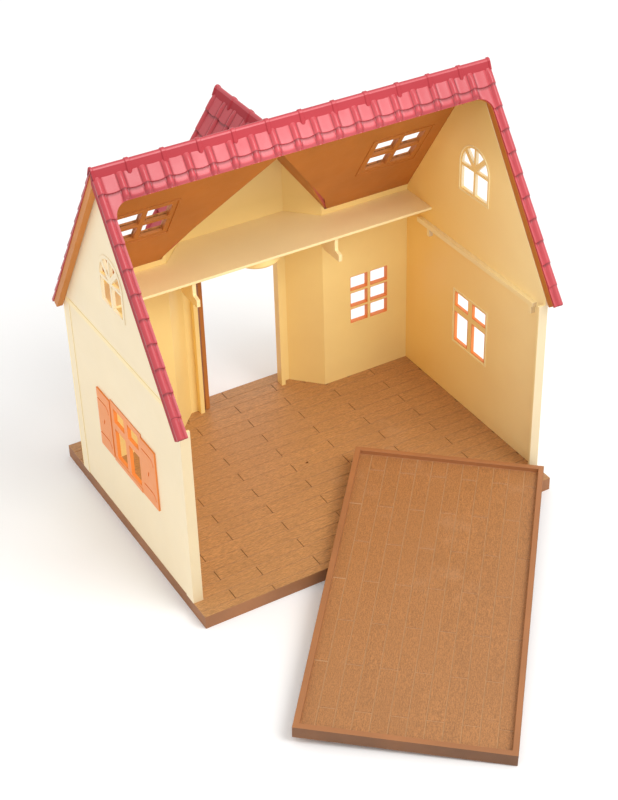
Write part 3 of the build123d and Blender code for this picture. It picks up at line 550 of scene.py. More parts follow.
def tile_rows(length, first, strip):
    """Rows down a slope, as (distance, share of its course, lip) columns.

    Each course starts low, thickens evenly and ends in a short lip that falls to the next course.
    Strip adds rows over the front strip's rounded lower edge."""
    rows = [(along, along / first, 0.0) for along in (ROLL_START, BOW_START)]
    start = 0.0
    step = first
    while start < length - 1:
        end = min(start + step, length)
        for share in COURSE_SHARES:
            along = start + share * (end - start)
            if along > COVERED_LENGTH:
                rows.append((along, (along - start) / step, 0.0))
        rows += [(end - back, (end - back - start) / step, lip) for back, lip in LIP_ROWS]
        start = end
        step = COURSE_LENGTH
    rows.append((length, 0.0, 1.0))
    if strip:
        rows += [(along, (along - first) / COURSE_LENGTH, 0.0) for along in STRIP_ROWS]
    return np.array(sorted(rows))


def tiled_slope(rolls, lines, rows, first, strip_half_width):
    """Distance down the slope, height over it and crease, for every row and line of a tiled slope.

    Height is the larger of two: a pan that thickens down its course and dishes up beside the rolls,
    and a half-round roll. Both fall to the next course's start over the lip. The rows hang down in
    the middle of each pan by the bow and arch up over each roll. The crease is painted shade: 1 just
    below each lip, less along the foot of each roll and least on the rakes, up to a half on the front
    strip's rounded lower edge, and 0 elsewhere."""
    radius = chosen_size("roll_radius")
    off = np.abs(lines[:, None] - rolls).min(1)
    half = (rolls[1] - rolls[0]) / 2
    across = np.clip((off - radius) / (half - radius), 0, 1)
    over = np.sqrt(np.clip(1 - (off / radius) ** 2, 0, 1))
    along, share, lip = rows[:, :1], np.clip(rows[:, 1:2], 0, 1), rows[:, 2:3]
    growth = share * (1 - lip)
    pan = TILE_LOW + (chosen_size("tile_lip") - TILE_LOW) * growth
    pan = pan + PAN_DISH * (1 - across) ** 2 * (1 - DISH_LOST * lip)
    beside = np.clip(1 - np.abs(off - radius - CREASE_REACH / 3) / CREASE_REACH, 0, 1)
    pan = pan - CREASE_DEPTH * beside * (1 - lip)
    roll = radius * over - ROLL_SINK + ROLL_TAPER * growth
    fade = np.clip((along - ROLL_START) / ROLL_FADE, 0, 1)
    height = np.maximum(pan, np.where(off < radius, roll * fade, 0))
    hang = chosen_size("tile_bow") * (1 - (1 - across) ** 2) - BOW_LIFT
    held = np.clip(np.minimum(along - BOW_START, rows[-1, 0] - along) / BOW_FADE, 0, 1)
    distance = along + np.where(off < radius, -ROLL_ARCH * over, hang) * held
    after = along - first - COURSE_LENGTH * np.floor((along - first) / COURSE_LENGTH)
    below = np.clip(CREASE_GAIN - after / CREASE_REACH, 0, 1) * (along > first - LIP_LENGTH)
    below = below + np.clip(lip * CREASE_GAIN, 0, 1)
    on_rake = np.minimum(lines - lines.min(), lines.max() - lines) < RAKE_WIDTH
    foot = np.where(on_rake, RAKE_CREASE, PAN_CREASE) * beside * (off > radius * ROLL_FOOT)
    crease = np.clip(np.maximum(below, foot), 0, 1)
    if strip_half_width:
        near = np.clip((strip_half_width - np.abs(lines)) / STRIP_FADE, 0, 1)
        near = near * (along <= STRIP_LENGTH + STRIP_OVERRUN)
        turn = np.clip((along - STRIP_LIP_START) / (STRIP_LENGTH - STRIP_LIP_START), 0, 1)
        drop = (1 - np.sqrt(np.clip(1 - turn ** 2 * STRIP_TURN, 0, 1))) * STRIP_DROP
        height = np.maximum(height - drop * near, LOWEST_TILE)
        crease = np.maximum(crease, STRIP_CREASE * near * np.clip(along - STRIP_LIP_START - 1, 0, 1))
    return distance, height, crease


def tiled_shell(name, place, rolls, low, high, length, first, strip_half_width=0.0):
    """A closed shell over both slopes: the tiled upper faces and a plain lower face.

    The ring of rows runs from one eave over the ridge to the other eave, and back below."""
    lines = tile_lines(rolls, low, high)
    surfaces = []
    creases = []
    for side, strip in ((-1, strip_half_width), (1, 0.0)):
        rows = tile_rows(length, first, strip)
        distance, height, crease = tiled_slope(rolls, lines, rows, first, strip)
        surfaces.append(place(side, lines, distance, height)[::side])
        creases.append(crease[::side])
    crest = place(1, lines, 0.0, 0.0)
    under = crest - (0, 0, ROOF_SKIN / SLOPE_RUN)
    eaves = [place(side, lines, length, -ROOF_SKIN) for side in (1, -1)]
    points = np.concatenate([surfaces[0], [crest], surfaces[1], [eaves[0], under, eaves[1]]])
    shell = fill_mesh(name, points, ring_faces(points))
    plain = np.zeros((3, len(lines)))
    values = np.concatenate([creases[0], plain[:1], creases[1], plain])
    attribute = shell.data.attributes.new("crease_shade", "FLOAT", "POINT")
    attribute.data.foreach_set("value", values.astype(np.float32).ravel())
    return shell


def cut(piece, shells):
    """Cuts closed shells out of a piece, and keeps the result as its mesh."""
    for points, faces in shells:
        cutter = fill_mesh("cutter", points, faces)
        modifier = piece.modifiers.new("cut", "BOOLEAN")
        modifier.operation = "DIFFERENCE"
        modifier.solver = "EXACT"
        modifier.object = cutter
        graph = bpy.context.evaluated_depsgraph_get()
        mesh = bpy.data.meshes.new_from_object(piece.evaluated_get(graph), depsgraph=graph)
        piece.modifiers.clear()
        old = piece.data
        piece.data = mesh
        bpy.data.meshes.remove(old)
        bpy.data.objects.remove(cutter)
    soften_shading(piece)


def rounded_outline(half_width, start, end, radius):
    """(x, along) outline of an opening with two rounded corners at its start."""
    turns = np.radians(np.linspace(0, 90, 9))
    corner_x = half_width - radius + radius * np.sin(turns)
    corner_y = start + radius - radius * np.cos(turns)
    right = np.stack([corner_x, corner_y], -1)
    left = right[::-1] * (-1, 1)
    return np.concatenate([left, right, [(half_width, end), (-half_width, end)]])


def under_ridge(middle, top):
    """Outline of the space under a ridge: its apex and two feet far down the roof's pitch."""
    foot = top - CUT_REACH * SLOPE_FALL / SLOPE_RUN
    return [(middle, top), (middle + CUT_REACH, foot), (middle - CUT_REACH, foot)]


def skylight_panes(centre):
    """(low x, high x, start, end) of one skylight's four panes on the rear slope."""
    reach = (SKYLIGHT_BAR + SKYLIGHT_PANE_WIDTH) / 2
    half = SKYLIGHT_PANE_WIDTH / 2
    panes = []
    for row in (0, 1):
        start = SKYLIGHT_FIRST_ROW + row * (SKYLIGHT_PANE_LENGTH + SKYLIGHT_ROW_BAR)
        for middle in (centre - reach, centre + reach):
            panes.append((middle - half, middle + half, start, start + SKYLIGHT_PANE_LENGTH))
    return panes


def skylight_reveals(centres, normals):
    """Material 1 on the sides of the skylights' openings, 0 elsewhere."""
    along = (centres[:, 1] - RIDGE_Y) * SLOPE_RUN - (centres[:, 2] - RIDGE_Z) * SLOPE_FALL
    inside = np.zeros(len(centres), bool)
    for centre in SKYLIGHT_CENTRES:
        for low_x, high_x, start, end in skylight_panes(centre):
            across = (centres[:, 0] > low_x - REVEAL_REACH) & (centres[:, 0] < high_x + REVEAL_REACH)
            inside |= across & (along > start - REVEAL_REACH) & (along < end + REVEAL_REACH)
    return inside & (centres[:, 1] > RIDGE_Y)


def framed(places):
    """The sorted lines through panes' sides, with the outer lines of the surround at both ends."""
    lines = np.unique(np.round(places, PLACE_DIGITS))
    return np.concatenate([[lines[0] - CURB_WIDTH], lines, [lines[-1] + CURB_WIDTH]])


def skylight_surround(centre):
    """Points and faces of a raised surround with a cross: a plate of five by five cells, whose
    second and fourth cells each way are left empty for the panes.

    Each filled cell has an upper and a lower face, and a wall on each side whose neighbour is empty."""
    panes = np.array(skylight_panes(centre))
    grid_a, grid_b = np.meshgrid(framed(panes[:, :2]), framed(panes[:, 2:]), indexing="ij")
    filled = np.ones((grid_a.shape[0] - 1, grid_a.shape[1] - 1), bool)
    filled[1::2, 1::2] = False
    levels = [on_rear_slope(grid_a.ravel(), grid_b.ravel(), level) for level in (-CURB_SINK, CURB_RELIEF)]
    index = np.arange(grid_a.size).reshape(grid_a.shape)
    corners = [index[:-1, :-1], index[1:, :-1], index[1:, 1:], index[:-1, 1:]]
    tops = np.stack([corner[filled] + grid_a.size for corner in corners], -1)
    faces = [tops, tops[:, ::-1] - grid_a.size]
    padded = np.pad(filled, 1)
    neighbours = (padded[:-2, 1:-1], padded[1:-1, 2:], padded[2:, 1:-1], padded[1:-1, :-2])
    for side, neighbour in enumerate(neighbours):
        edge = filled & ~neighbour
        a, b = corners[-side][edge], corners[3 - side][edge]
        faces.append(np.stack([a + grid_a.size, b + grid_a.size, b, a], -1))
    faces = np.concatenate(faces)
    used, renumbered = np.unique(faces, return_inverse=True)
    return np.concatenate(levels)[used], renumbered.reshape(faces.shape)


def ridge_cap(name, place, low, high, joints):
    """A closed cap over a ridge.

    Its section is a bead on the crest and two flat wings, steeper than the roof, that end in a
    rounded edge. Over each joint's band the section grows, and the wings reach down in a point.
    Its lines lie to both sides of each joint, with none between."""
    lines = kept_lines(joints[:, None] + np.append(-CAP_LINES, CAP_LINES), low, high)
    off = np.abs(lines[:, None] - joints).min(1)
    raised = np.clip((CAP_BAND_HALF_WIDTH + CAP_BAND_LEVEL - off) / CAP_BAND_SOFT, 0, 1)
    extra = CAP_BAND_RELIEF * raised
    pointed = (lines > low + CAP_PLAIN_END) & (lines < high - CAP_PLAIN_END)
    point = np.clip(1 - off / CAP_POINT_HALF_WIDTH, 0, 1) * pointed
    reach = CAP_REACH + (CAP_POINT_REACH - CAP_REACH) * point
    wings = []
    for side in (-1, 1):
        wing = [place(side, lines, reach, CAP_INNER)]
        wing += [place(side, lines, reach - back, extra + out) for back, out in CAP_EDGE]
        wing.append(place(side, lines, CAP_SHOULDER, extra + CAP_SHOULDER_RELIEF))
        wings.append(wing)
    crest = place(1, lines, 0.0, 0.0)
    side_way = place(1, lines, 1.0, 0.0) - crest
    side_way[..., 2] = 0
    side_way /= np.linalg.norm(side_way, axis=-1, keepdims=True)
    bead = chosen_size("bead_radius")
    middle = CAP_RELIEF / SLOPE_RUN - BEAD_SINK - bead
    turns = np.linspace(-BEAD_TURN, BEAD_TURN, 9)[:, None]
    beads = crest + side_way * ((bead + extra) * np.sin(turns))[..., None]
    beads[..., 2] += middle + (bead + extra) * np.cos(turns)
    points = np.concatenate([wings[0], beads, wings[1][::-1], [crest - (0, 0, CAP_FOOT)]])
    return fill_mesh(name, points, ring_faces(points))


def spaced(low, high, step):
    """Places from low to high, as near to the step apart as divides the way evenly."""
    count = max(1, round((high - low) / step))
    return np.linspace(low, high, count + 1)


def softened(node, name, width, segments, curved):
    """A copy of a frame node with its doubled points merged and its edges rounded.

    Only a curved piece is shaded smooth: the others are all flat faces."""
    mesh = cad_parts[node].data.copy()
    mesh.name = name
    mesh.materials.clear()
    shape = bmesh.new()
    shape.from_mesh(mesh)
    bmesh.ops.remove_doubles(shape, verts=shape.verts, dist=MERGE_DISTANCE * MM)
    shape.to_mesh(mesh)
    shape.free()
    piece = bpy.data.objects.new(name, mesh)
    bpy.context.scene.collection.objects.link(piece)
    if curved:
        soften_shading(piece)
    else:
        mesh.polygons.foreach_set("use_smooth", np.zeros(len(mesh.polygons), bool))
    round_edges(piece, width, segments, curved)
    return piece


def round_edges(piece, width, segments=2, curved=True):
    """Adds a rounded edge, its width in millimetres, to every sharp edge of a piece."""
    bevel = piece.modifiers.new("moulded_edge", "BEVEL")
    bevel.width = width * MM
    bevel.segments = segments
    bevel.limit_method = "ANGLE"
    bevel.angle_limit = SHARP_ANGLE
    bevel.harden_normals = curved


def assign(piece, materials, choose=None):
    """Gives a piece its materials. Choose turns face centres, in millimetres, and normals into
    material numbers, or into truth values that count as 1 and 0."""
    mesh = piece.data
    mesh.materials.clear()
    for material in materials:
        mesh.materials.append(material)
    count = len(mesh.polygons)
    numbers = np.zeros(count, np.int32)
    if choose is not None:
        normals = np.zeros(count * 3, np.float32)
        mesh.polygons.foreach_get("normal", normals)
        centres = np.zeros(count * 3, np.float32)
        mesh.polygons.foreach_get("center", centres)
        numbers = choose(centres.reshape(-1, 3) / MM, normals.reshape(-1, 3)).astype(np.int32)
    mesh.polygons.foreach_set("material_index", numbers)


def dress(piece, body, slot, *nodes):
    """Makes a finished piece ride on its body and stand for its frame nodes. The slot is not used."""
    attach(piece, body)
    if nodes:
        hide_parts(*nodes)


def finish_node(node, body, slot, materials, choose=None, name=None, width=TRIM_EDGE, segments=2,
                curved=False):
    """A softened copy of a frame node, with its materials, that stands for the node."""
    piece = softened(node, name or "moulded_" + node, width, segments, curved)
    assign(piece, materials, choose)
    dress(piece, body, slot, node)
    return piece


def add_node(tree, kind, *values, out=None, **settings):
    """Adds one shader node with its settings, and fills or links its inputs in their order.

    Inputs that the settings switch off are passed over, and None leaves an input as it is. It
    returns the output of the given name, or the first one that is switched on."""
    made = tree.nodes.new("ShaderNode" + kind)
    for key, value in settings.items():
        setattr(made, key, value)
    for socket, value in zip([socket for socket in made.inputs if socket.enabled], values):
        if isinstance(value, bpy.types.NodeSocket):
            tree.links.new(value, socket)
        elif value is not None:
            socket.default_value = value
    if out:
        return made.outputs[out]
    return next((socket for socket in made.outputs if socket.enabled), None)


def new_material(name, base, roughness, specular=0.5):
    """An empty ABS material: its node tree and its shader, linked to the output."""
    material = bpy.data.materials.new(name)
    material.use_nodes = True
    tree = material.node_tree
    tree.nodes.clear()
    surface = add_node(tree, "BsdfPrincipled")
    inputs = surface.node.inputs
    inputs["Base Color"].default_value = base
    inputs["Roughness"].default_value = roughness
    inputs["IOR"].default_value = ABS_IOR
    inputs["Specular IOR Level"].default_value = specular
    add_node(tree, "OutputMaterial", surface)
    return material, tree, inputs


def spots(tree, scale, detail, rough=0.5, stretch=(1, 1, 1), place=None):
    """Soft random spots on Object coordinates, or on a given place, stretched along its axes."""
    place = place or add_node(tree, "TexCoord", out="Object")
    place = add_node(tree, "Mapping", place, None, None, stretch)
    return add_node(tree, "TexNoise", place, scale, detail, rough)


def scaled_colour(colour, factor):
    """A colour made darker or lighter by a factor, held at white."""
    return (*(min(1.0, c * factor) for c in colour[:3]), 1.0)


def moulded_plastic(name, base, roughness, mottle, specular=0.5, grit=0.00035, grit_strength=0.12):
    """Injection-moulded ABS: an even colour with faint clouds from handling, a fine spark-eroded
    grain of about a third of a millimetre, and duller patches where dust and fingers have been."""
    material, tree, shader = new_material(name, base, roughness, specular)
    shade = add_node(tree, "MapRange", spots(tree, *CLOUDS), *CLOUD_SPAN)
    dark = scaled_colour(base, 1 - mottle)
    pale = scaled_colour(base, 1 + mottle * PALE_CLOUD)
    tree.links.new(add_node(tree, "Mix", shade, dark, pale, data_type="RGBA"), shader["Base Color"])
    wear = spots(tree, *WEAR_SPOTS)
    wear = add_node(tree, "MapRange", wear, *WEAR_SPAN, roughness - POLISH, roughness + DULLING)
    tree.links.new(wear, shader["Roughness"])
    soft = add_node(tree, "Bump", *WAVE_BUMP, None, spots(tree, *WAVES))
    grain = spots(tree, 1 / grit, GRAIN_DETAIL)
    tree.links.new(add_node(tree, "Bump", grit_strength, GRAIN_HEIGHT, None, grain, soft), shader["Normal"])
    return material


def plastic(name):
    """One of the plain plastics, made once."""
    colour, kept, *finish = PLASTICS[name]
    made = bpy.data.materials.get(name)
    return made or moulded_plastic(name, scaled_colour(chosen_colour(colour), kept), *finish)


def overlay(material, factor, colour):
    """Mixes a colour over a material's base colour by a factor."""
    tree = material.node_tree
    shader = next(node for node in tree.nodes if node.type == "BSDF_PRINCIPLED")
    below = shader.inputs["Base Color"].links[0].from_socket
    mixed = add_node(tree, "Mix", factor, below, colour, data_type="RGBA")
    tree.links.new(mixed, shader.inputs["Base Color"])


def object_place(tree, axis):
    """One of the Object coordinates, in metres."""
    return add_node(tree, "SeparateXYZ", add_node(tree, "TexCoord", out="Object"), out=axis)


def band_mask(tree, place, low, high, fade=0.3):
    """1 between two places in millimetres, fading to 0 outside them."""
    over = add_node(tree, "MapRange", place, (low - fade) * MM, low * MM)
    under = add_node(tree, "MapRange", place, high * MM, (high + fade) * MM, 1.0, 0.0)
    return add_node(tree, "Math", over, under, operation="MULTIPLY")


def joint_line(tree, place, half_width):
    """1 on the lines where a value passes a whole number, fading to 0 at a half width off them."""
    part = add_node(tree, "Math", place, operation="FRACT")
    off = add_node(tree, "Math", part, 0.5, operation="SUBTRACT")
    off = add_node(tree, "Math", off, operation="ABSOLUTE")
    return add_node(tree, "MapRange", off, 0.5 - half_width, 0.5 - half_width * 0.6)


def layered(tree, colour, layers, patterns, base):
    """A colour with layers mixed over it, each a shade of the base where its pattern is in range."""
    for kind, *span, shade in layers:
        factor = add_node(tree, "MapRange", patterns[kind], *span)
        colour = add_node(tree, "Mix", factor, colour, scaled_colour(base, shade), data_type="RGBA")
    return colour


def wood_effect_plastic(name, base, seam_share, figure):
    """Moulded ABS with a wood figure: each plank is a shade of its own, streaks of about half a
    millimetre run along it, dark and pale pores speckle it, and scuffs lie over several planks.

    The UV map counts planks, u along and v across, so that each plank gets its own number. Figure
    is how many streaks there are along and across a plank."""
    material, tree, shader = new_material(name, base, WOOD_ROUGHNESS)
    where = add_node(tree, "UVMap", uv_map="planks")
    along, across = (add_node(tree, "SeparateXYZ", where, out=axis) for axis in "XY")
    row = add_node(tree, "Math", across, operation="FLOOR")
    odd = add_node(tree, "Math", row, 2.0, operation="FLOORED_MODULO")
    column = add_node(tree, "Math", odd, ROW_SHIFT, along, operation="MULTIPLY_ADD")
    column = add_node(tree, "Math", column, operation="FLOOR")
    plank = add_node(tree, "CombineXYZ", column, row)
    tint = add_node(tree, "TexWhiteNoise", plank)
    moved = add_node(tree, "VectorMath", where, tint.node.outputs["Color"], operation="ADD")
    pore_stretch = (figure[0] * PORE_FIGURE[0], figure[1] * PORE_FIGURE[1], 1)
    patterns = {
        "grain": spots(tree, *WOOD_GRAIN, stretch=(*figure, 1), place=moved),
        "pores": spots(tree, *WOOD_PORES, stretch=pore_stretch, place=moved),
        "cloud": spots(tree, *WOOD_CLOUDS),
    }
    scuff = spots(tree, *WOOD_SCUFFS)
    colour = layered(tree, scaled_colour(base, WOOD_GROUND), FIGURE_LAYERS, patterns, base)
    shades = [scaled_colour(base, shade) for shade in PLANK_SHADES]
    own = add_node(tree, "Mix", tint, *shades, data_type="RGBA")
    colour = add_node(tree, "Mix", PLANK_SHARE, colour, own, data_type="RGBA")
    colour = layered(tree, colour, WEAR_LAYERS, patterns, base)
    scuffed = add_node(tree, "MapRange", scuff, *SCUFF_LAYER)
    colour = add_node(tree, "Mix", scuffed, colour, linear(SCUFF_COLOUR), data_type="RGBA")
    # Seams between rows are lightened: partly pale scuffs, partly painted light against the shade in the
    # grooves
    seam = joint_line(tree, across, SEAM_HALF_WIDTH)
    seam = add_node(tree, "Math", seam, seam_share, operation="MULTIPLY")
    colour = add_node(tree, "Mix", seam, colour, chosen_colour("seam_tan"), data_type="RGBA")
    tree.links.new(colour, shader["Base Color"])
    dull = add_node(tree, "MapRange", scuff, *SCUFF_SPAN, *SCUFF_ROUGHNESS)
    tree.links.new(dull, shader["Roughness"])
    bump = add_node(tree, "Bump", *GRAIN_BUMP, None, patterns["grain"])
    tree.links.new(add_node(tree, "Bump", *PORE_BUMP, None, patterns["pores"], bump), shader["Normal"])
    return material


def vertex_places(mesh):
    """A mesh's vertices, in millimetres."""
    places = np.zeros(len(mesh.vertices) * 3, np.float32)
    mesh.vertices.foreach_get("co", places)
    return places.reshape(-1, 3) / MM


def plank_map(piece, origin, long_way, cross_way, plank_width):
    """Gives a piece its plank UV map: planks counted along and across, from a corner."""
    mesh = piece.data
    places = vertex_places(mesh) - np.asarray(origin)
    corners = np.zeros(len(mesh.loops), np.int32)
    mesh.loops.foreach_get("vertex_index", corners)
    along = places @ np.asarray(long_way) / PLANK_LENGTH
    across = places @ np.asarray(cross_way) / plank_width
    layer = mesh.uv_layers.new(name="planks")
    layer.data.foreach_set("uv", np.stack([along, across], -1)[corners].astype(np.float32).ravel())


def joint_faces(origin, long_way, cross_way, plank_width, floor):
    """A chooser that gives material 1 to the floors of the short joints between plank ends,
    material 2 to rims and undersides, and material 3 to the sides that look outwards, which take a painted
    shade.

    A groove's floor lies lower than the planks' level, and a seam between rows lies near a whole
    number of planks."""
    upward = np.cross(long_way, cross_way)
    shallow, deep = GROOVE_DEPTHS

    def choose(centres, normals):
        places = centres - np.asarray(origin)
        across = places @ np.asarray(cross_way) / plank_width
        depth = floor - places @ upward
        rise = normals @ upward
        seam = np.abs(across - np.round(across)) * plank_width < SEAM_REACH
        joint = (depth > shallow) & (depth < deep) & (rise > LEVEL) & ~seam
        plain = (depth < -RIM_RISE) | ((rise < STEEP) & (depth > UNDERSIDE_DEPTH))
        middle = (centres.min(0) + centres.max(0)) / 2
        outward = np.einsum("ij,ij->i", centres - middle, normals) > SIDE_REACH
        beside_groove = (depth < deep) & (depth > -SIDE_SLACK)
        side = outward & ~beside_groove & (np.abs(rise) < STEEP)
        return np.select([side, plain, joint], [3, 2, 1])
    return choose


def roof_material():
    """Glossy injection-moulded ABS, made once: a soft sheen on the pans, sharp lights on rolls and
    beads, and creases darkened by painted shade."""
    name = "glossy_red_moulded_abs"
    if name in bpy.data.materials:
        return bpy.data.materials[name]
    material = plastic(name)
    tree = material.node_tree
    # The crease attribute is painted shade, mixed in as a darker red
    crease = add_node(tree, "Attribute", out="Fac", attribute_name="crease_shade")
    depth = add_node(tree, "Math", crease, CREASE_SHARE, operation="MULTIPLY")
    overlay(material, depth, scaled_colour(chosen_colour("roof_red"), CREASE_SHADE))
    return material


class COTTAGE_OT_main_roof(bpy.types.Operator):
    """Makes the tiled main roof with its open front, skylights and side skirts"""
    bl_idname = "cottage.main_roof"
    bl_label = "Main Roof"

    def execute(self, context):
        half = ROOF_HALF_LENGTH
        opening_half = half - RAKE_WIDTH
        outermost = half - ROLL_EDGE_INSET
        roof = tiled_shell(
            "tiled_main_roof", on_slope, spaced(-outermost, outermost, chosen_size("tile_pitch")),
            -half, half, SLOPE_LENGTH, FIRST_COURSE, opening_half - CORNER_RADIUS * CORNER_SHARE,
        )
        outline = rounded_outline(opening_half, STRIP_LENGTH, SLOPE_LENGTH + OPENING_SPARE, CORNER_RADIUS)
        shells = [prism_shell(outline, -OPENING_DEPTH, OPENING_DEPTH, on_front_slope)]
        for centre in SKYLIGHT_CENTRES:
            for low_x, high_x, start, end in skylight_panes(centre):
                corners = [(low_x, start), (high_x, start), (high_x, end), (low_x, end)]
                shells.append(prism_shell(corners, -PANE_DEPTH, PANE_DEPTH, on_rear_slope))
        dormer = under_ridge(0, DORMER_RIDGE_Z)
        shells.append(prism_shell(dormer, RIDGE_Y + 1, DORMER_FRONT_Y + DORMER_SPARE, across_y))
        cut(roof, shells)
        finish = [roof_material(), plastic("satin_brown_moulded_abs")]
        assign(roof, finish, skylight_reveals)
        dress(roof, "house", "red_roof", "main_roof")
        foot = on_front_slope(0.0, SLOPE_LENGTH, -SKIRT_DEPTH)
        band = [
            (RIDGE_Y, RIDGE_Z - SKIRT_SINK),
            (RIDGE_Y - ROOF_RUN, RIDGE_Z - ROOF_RUN * SLOPE_FALL / SLOPE_RUN - SKIRT_SINK),
            (foot[1], foot[2]), (RIDGE_Y, RIDGE_Z - SKIRT_DEPTH / SLOPE_RUN),
        ]
        for side, name in ((-1, "left"), (1, "right")):
            edges = sorted((side * half, side * (half - SKIRT_THICKNESS)))
            skirt = fill_mesh("front_skirt_" + name, *prism_shell(band, *edges, across_x))
            round_edges(skirt, TRIM_EDGE)
            # The skirts take the darker matt red, painted shade
            assign(skirt, [plastic("matt_red_moulded_abs")])
            dress(skirt, "house", "red_roof")
        for name, centre in zip(("left", "right"), SKYLIGHT_CENTRES):
            points, faces = skylight_surround(centre)
            curb = fill_mesh("skylight_surround_" + name, points, [faces])
            round_edges(curb, SURROUND_EDGE)
            assign(curb, finish, skylight_reveals)
            dress(curb, "house", "red_roof")
        return {"FINISHED"}


class COTTAGE_OT_dormer_roof(bpy.types.Operator):
    """Makes the tiled roof of the dormer over the bay"""
    bl_idname = "cottage.dormer_roof"
    bl_label = "Dormer Roof"

    def execute(self, context):
        step = chosen_size("tile_pitch")
        outermost = DORMER_FRONT_Y - ROLL_EDGE_INSET
        count = int((outermost - RIDGE_Y - DORMER_ROLL_START) / step)
        roof = tiled_shell(
            "tiled_dormer_roof", on_dormer, outermost - step * np.arange(count, -1, -1),
            RIDGE_Y + DORMER_START, DORMER_FRONT_Y, DORMER_SLOPE_LENGTH, DORMER_FIRST_COURSE,
        )
        under = under_ridge(RIDGE_Y, RIDGE_Z - ROOF_SKIN / SLOPE_RUN)
        cut(roof, [prism_shell(under, -CUT_REACH, CUT_REACH, across_x)])
        assign(roof, [roof_material()])
        dress(roof, "house", "red_roof", "dormer_roof")
        return {"FINISHED"}


def cap_wings(height):
    """A chooser that gives material 1, a darker matt red as painted shade, to a ridge cap's wings below its
    bead, and 0 to the bead.
    """
    return lambda centres, normals: centres[:, 2] < height - WING_DROP


class COTTAGE_OT_ridge_caps(bpy.types.Operator):
    """Makes the caps along both ridges"""
    bl_idname = "cottage.ridge_caps"
    bl_label = "Ridge Caps"

    def execute(self, context):
        half = ROOF_HALF_LENGTH
        start = VALLEY_APEX_Y - DORMER_CAP_INSET
        dormer_joints = np.arange(DORMER_FRONT_Y, VALLEY_APEX_Y, -CAP_PITCH)[::-1]
        for name, place, low, high, joints, top, node in (
            ("main_ridge_cap", on_slope, -half, half, spaced(-half, half, CAP_PITCH), RIDGE_Z, "ridge_cap"),
            ("dormer_cap", on_dormer, start, DORMER_FRONT_Y, dormer_joints, DORMER_RIDGE_Z,
             "dormer_ridge_cap"),
        ):
            cap = ridge_cap(name, place, low, high, joints)
            # The wings take the darker matt red, painted shade
            assign(cap, [roof_material(), plastic("matt_red_moulded_abs")], cap_wings(top))
            dress(cap, "house", "red_roof", node)
        return {"FINISHED"}


def verge_bars(centres, normals):
    """Material 1 on the liner's bars outside the gable walls, 0 on the rest."""
    return np.abs(centres[:, 0]) > GABLE_HIGH.x - BAR_INSET


class COTTAGE_OT_liners(bpy.types.Operator):
    """Makes the brown liners inside the roofs"""
    bl_idname = "cottage.liners"
    bl_label = "Roof Liners"

    def execute(self, context):
        browns = [plastic("satin_brown_moulded_abs"), plastic("light_brown_moulded_abs")]
        for node in ("roof_liner", "dormer_liner"):
            finish_node(node, "house", "brown_liner", browns, verge_bars, width=THIN_EDGE)
        return {"FINISHED"}


def gable_faces(centres, normals):
    """Material 0 on a gable wall's outer faces, 1 inside, painted deeper towards the back as shade, 2 on
    faces that look to the front, a darker cream as painted shade, and 3 on the rail inside, a paler
    cream as painted highlight."""
    depth = np.abs(centres[:, 0])
    # The rail takes the paler cream, a painted highlight
    rail = (depth < GABLE_INSIDE - RAIL_SKIN) & (centres[:, 2] > RAIL_TOP - RAIL_REACH)
    rail &= centres[:, 1] > ROOM_FRONT
    return np.select([normals[:, 1] < -FACING, rail, depth < GABLE_HIGH.x - GABLE_SKIN], [2, 3, 1])


def facade_inside(centres, normals):
    """Material 1 on the facade's inner faces, a warmer cream that is painted bounce light, 0 on its outer
    faces.
    """
    return normals[:, 1] < INWARD


def room_shaded_cream():
    """Cream ABS painted paler at the room's open front and deeper towards its back as painted shade, and
    darker up under the roof.
    """
    material = plastic("yellowed_cream_moulded_abs")
    tree = material.node_tree
    back = add_node(tree, "MapRange", object_place(tree, "Y"), ROOM_FRONT * MM, ROOM_REAR * MM)
    overlay(material, back, chosen_colour("cream_deep"))
    shade_above(material, *GABLE_SHADE)
    return material


def shade_above(material, low, high, most):
    """Painted shade: the plastic is made darker and browner up under the roof, between two heights."""
    tree = material.node_tree
    factor = add_node(tree, "MapRange", object_place(tree, "Z"), low * MM, high * MM, 0.0, most)
    overlay(material, factor, scaled_colour(chosen_colour("cream_deep"), SHADE_LEFT))


def banded_cream():
    """Cream ABS with a painted highlight, a warmer, brighter cream, on the raised storey rib and on two lines
    along the corner band below it.
    """
    material = plastic("banded_cream_moulded_abs")
    tree = material.node_tree
    depth = object_place(tree, "Y")
    height = object_place(tree, "Z")
    rib = band_mask(tree, height, *STOREY_RIB)
    edge = band_mask(tree, depth, *(WALL_REAR - CORNER_BAND + step for step in CORNER_LINE))
    corner = band_mask(tree, depth, WALL_REAR - CORNER_EDGE, WALL_REAR)
    below = add_node(tree, "MapRange", height, (STOREY_RIB[0] + RIB_FADE) * MM, STOREY_RIB[0] * MM)
    lines = add_node(tree, "Math", edge, corner, operation="MAXIMUM")
    lines = add_node(tree, "Math", lines, below, operation="MULTIPLY")
    both = add_node(tree, "Math", lines, rib, operation="MAXIMUM")
    painted_highlight = add_node(tree, "Math", both, BAND_HIGHLIGHT, operation="MULTIPLY")
    overlay(material, painted_highlight, chosen_colour("cream_pale"))
    return material


def arch_outline(offset):
    """(y, z) outline of an arched window moved out by an offset: two upright sides and a half circle."""
    turns = np.radians(np.linspace(180, 0, 25))
    reach = ARCH_RADIUS + offset
    low = ARCH_SILL - offset
    arch = np.stack([RIDGE_Y + reach * np.cos(turns), ARCH_SPRING + reach * np.sin(turns)], -1)
    return np.concatenate([[(RIDGE_Y - reach, low)], arch, [(RIDGE_Y + reach, low)]])


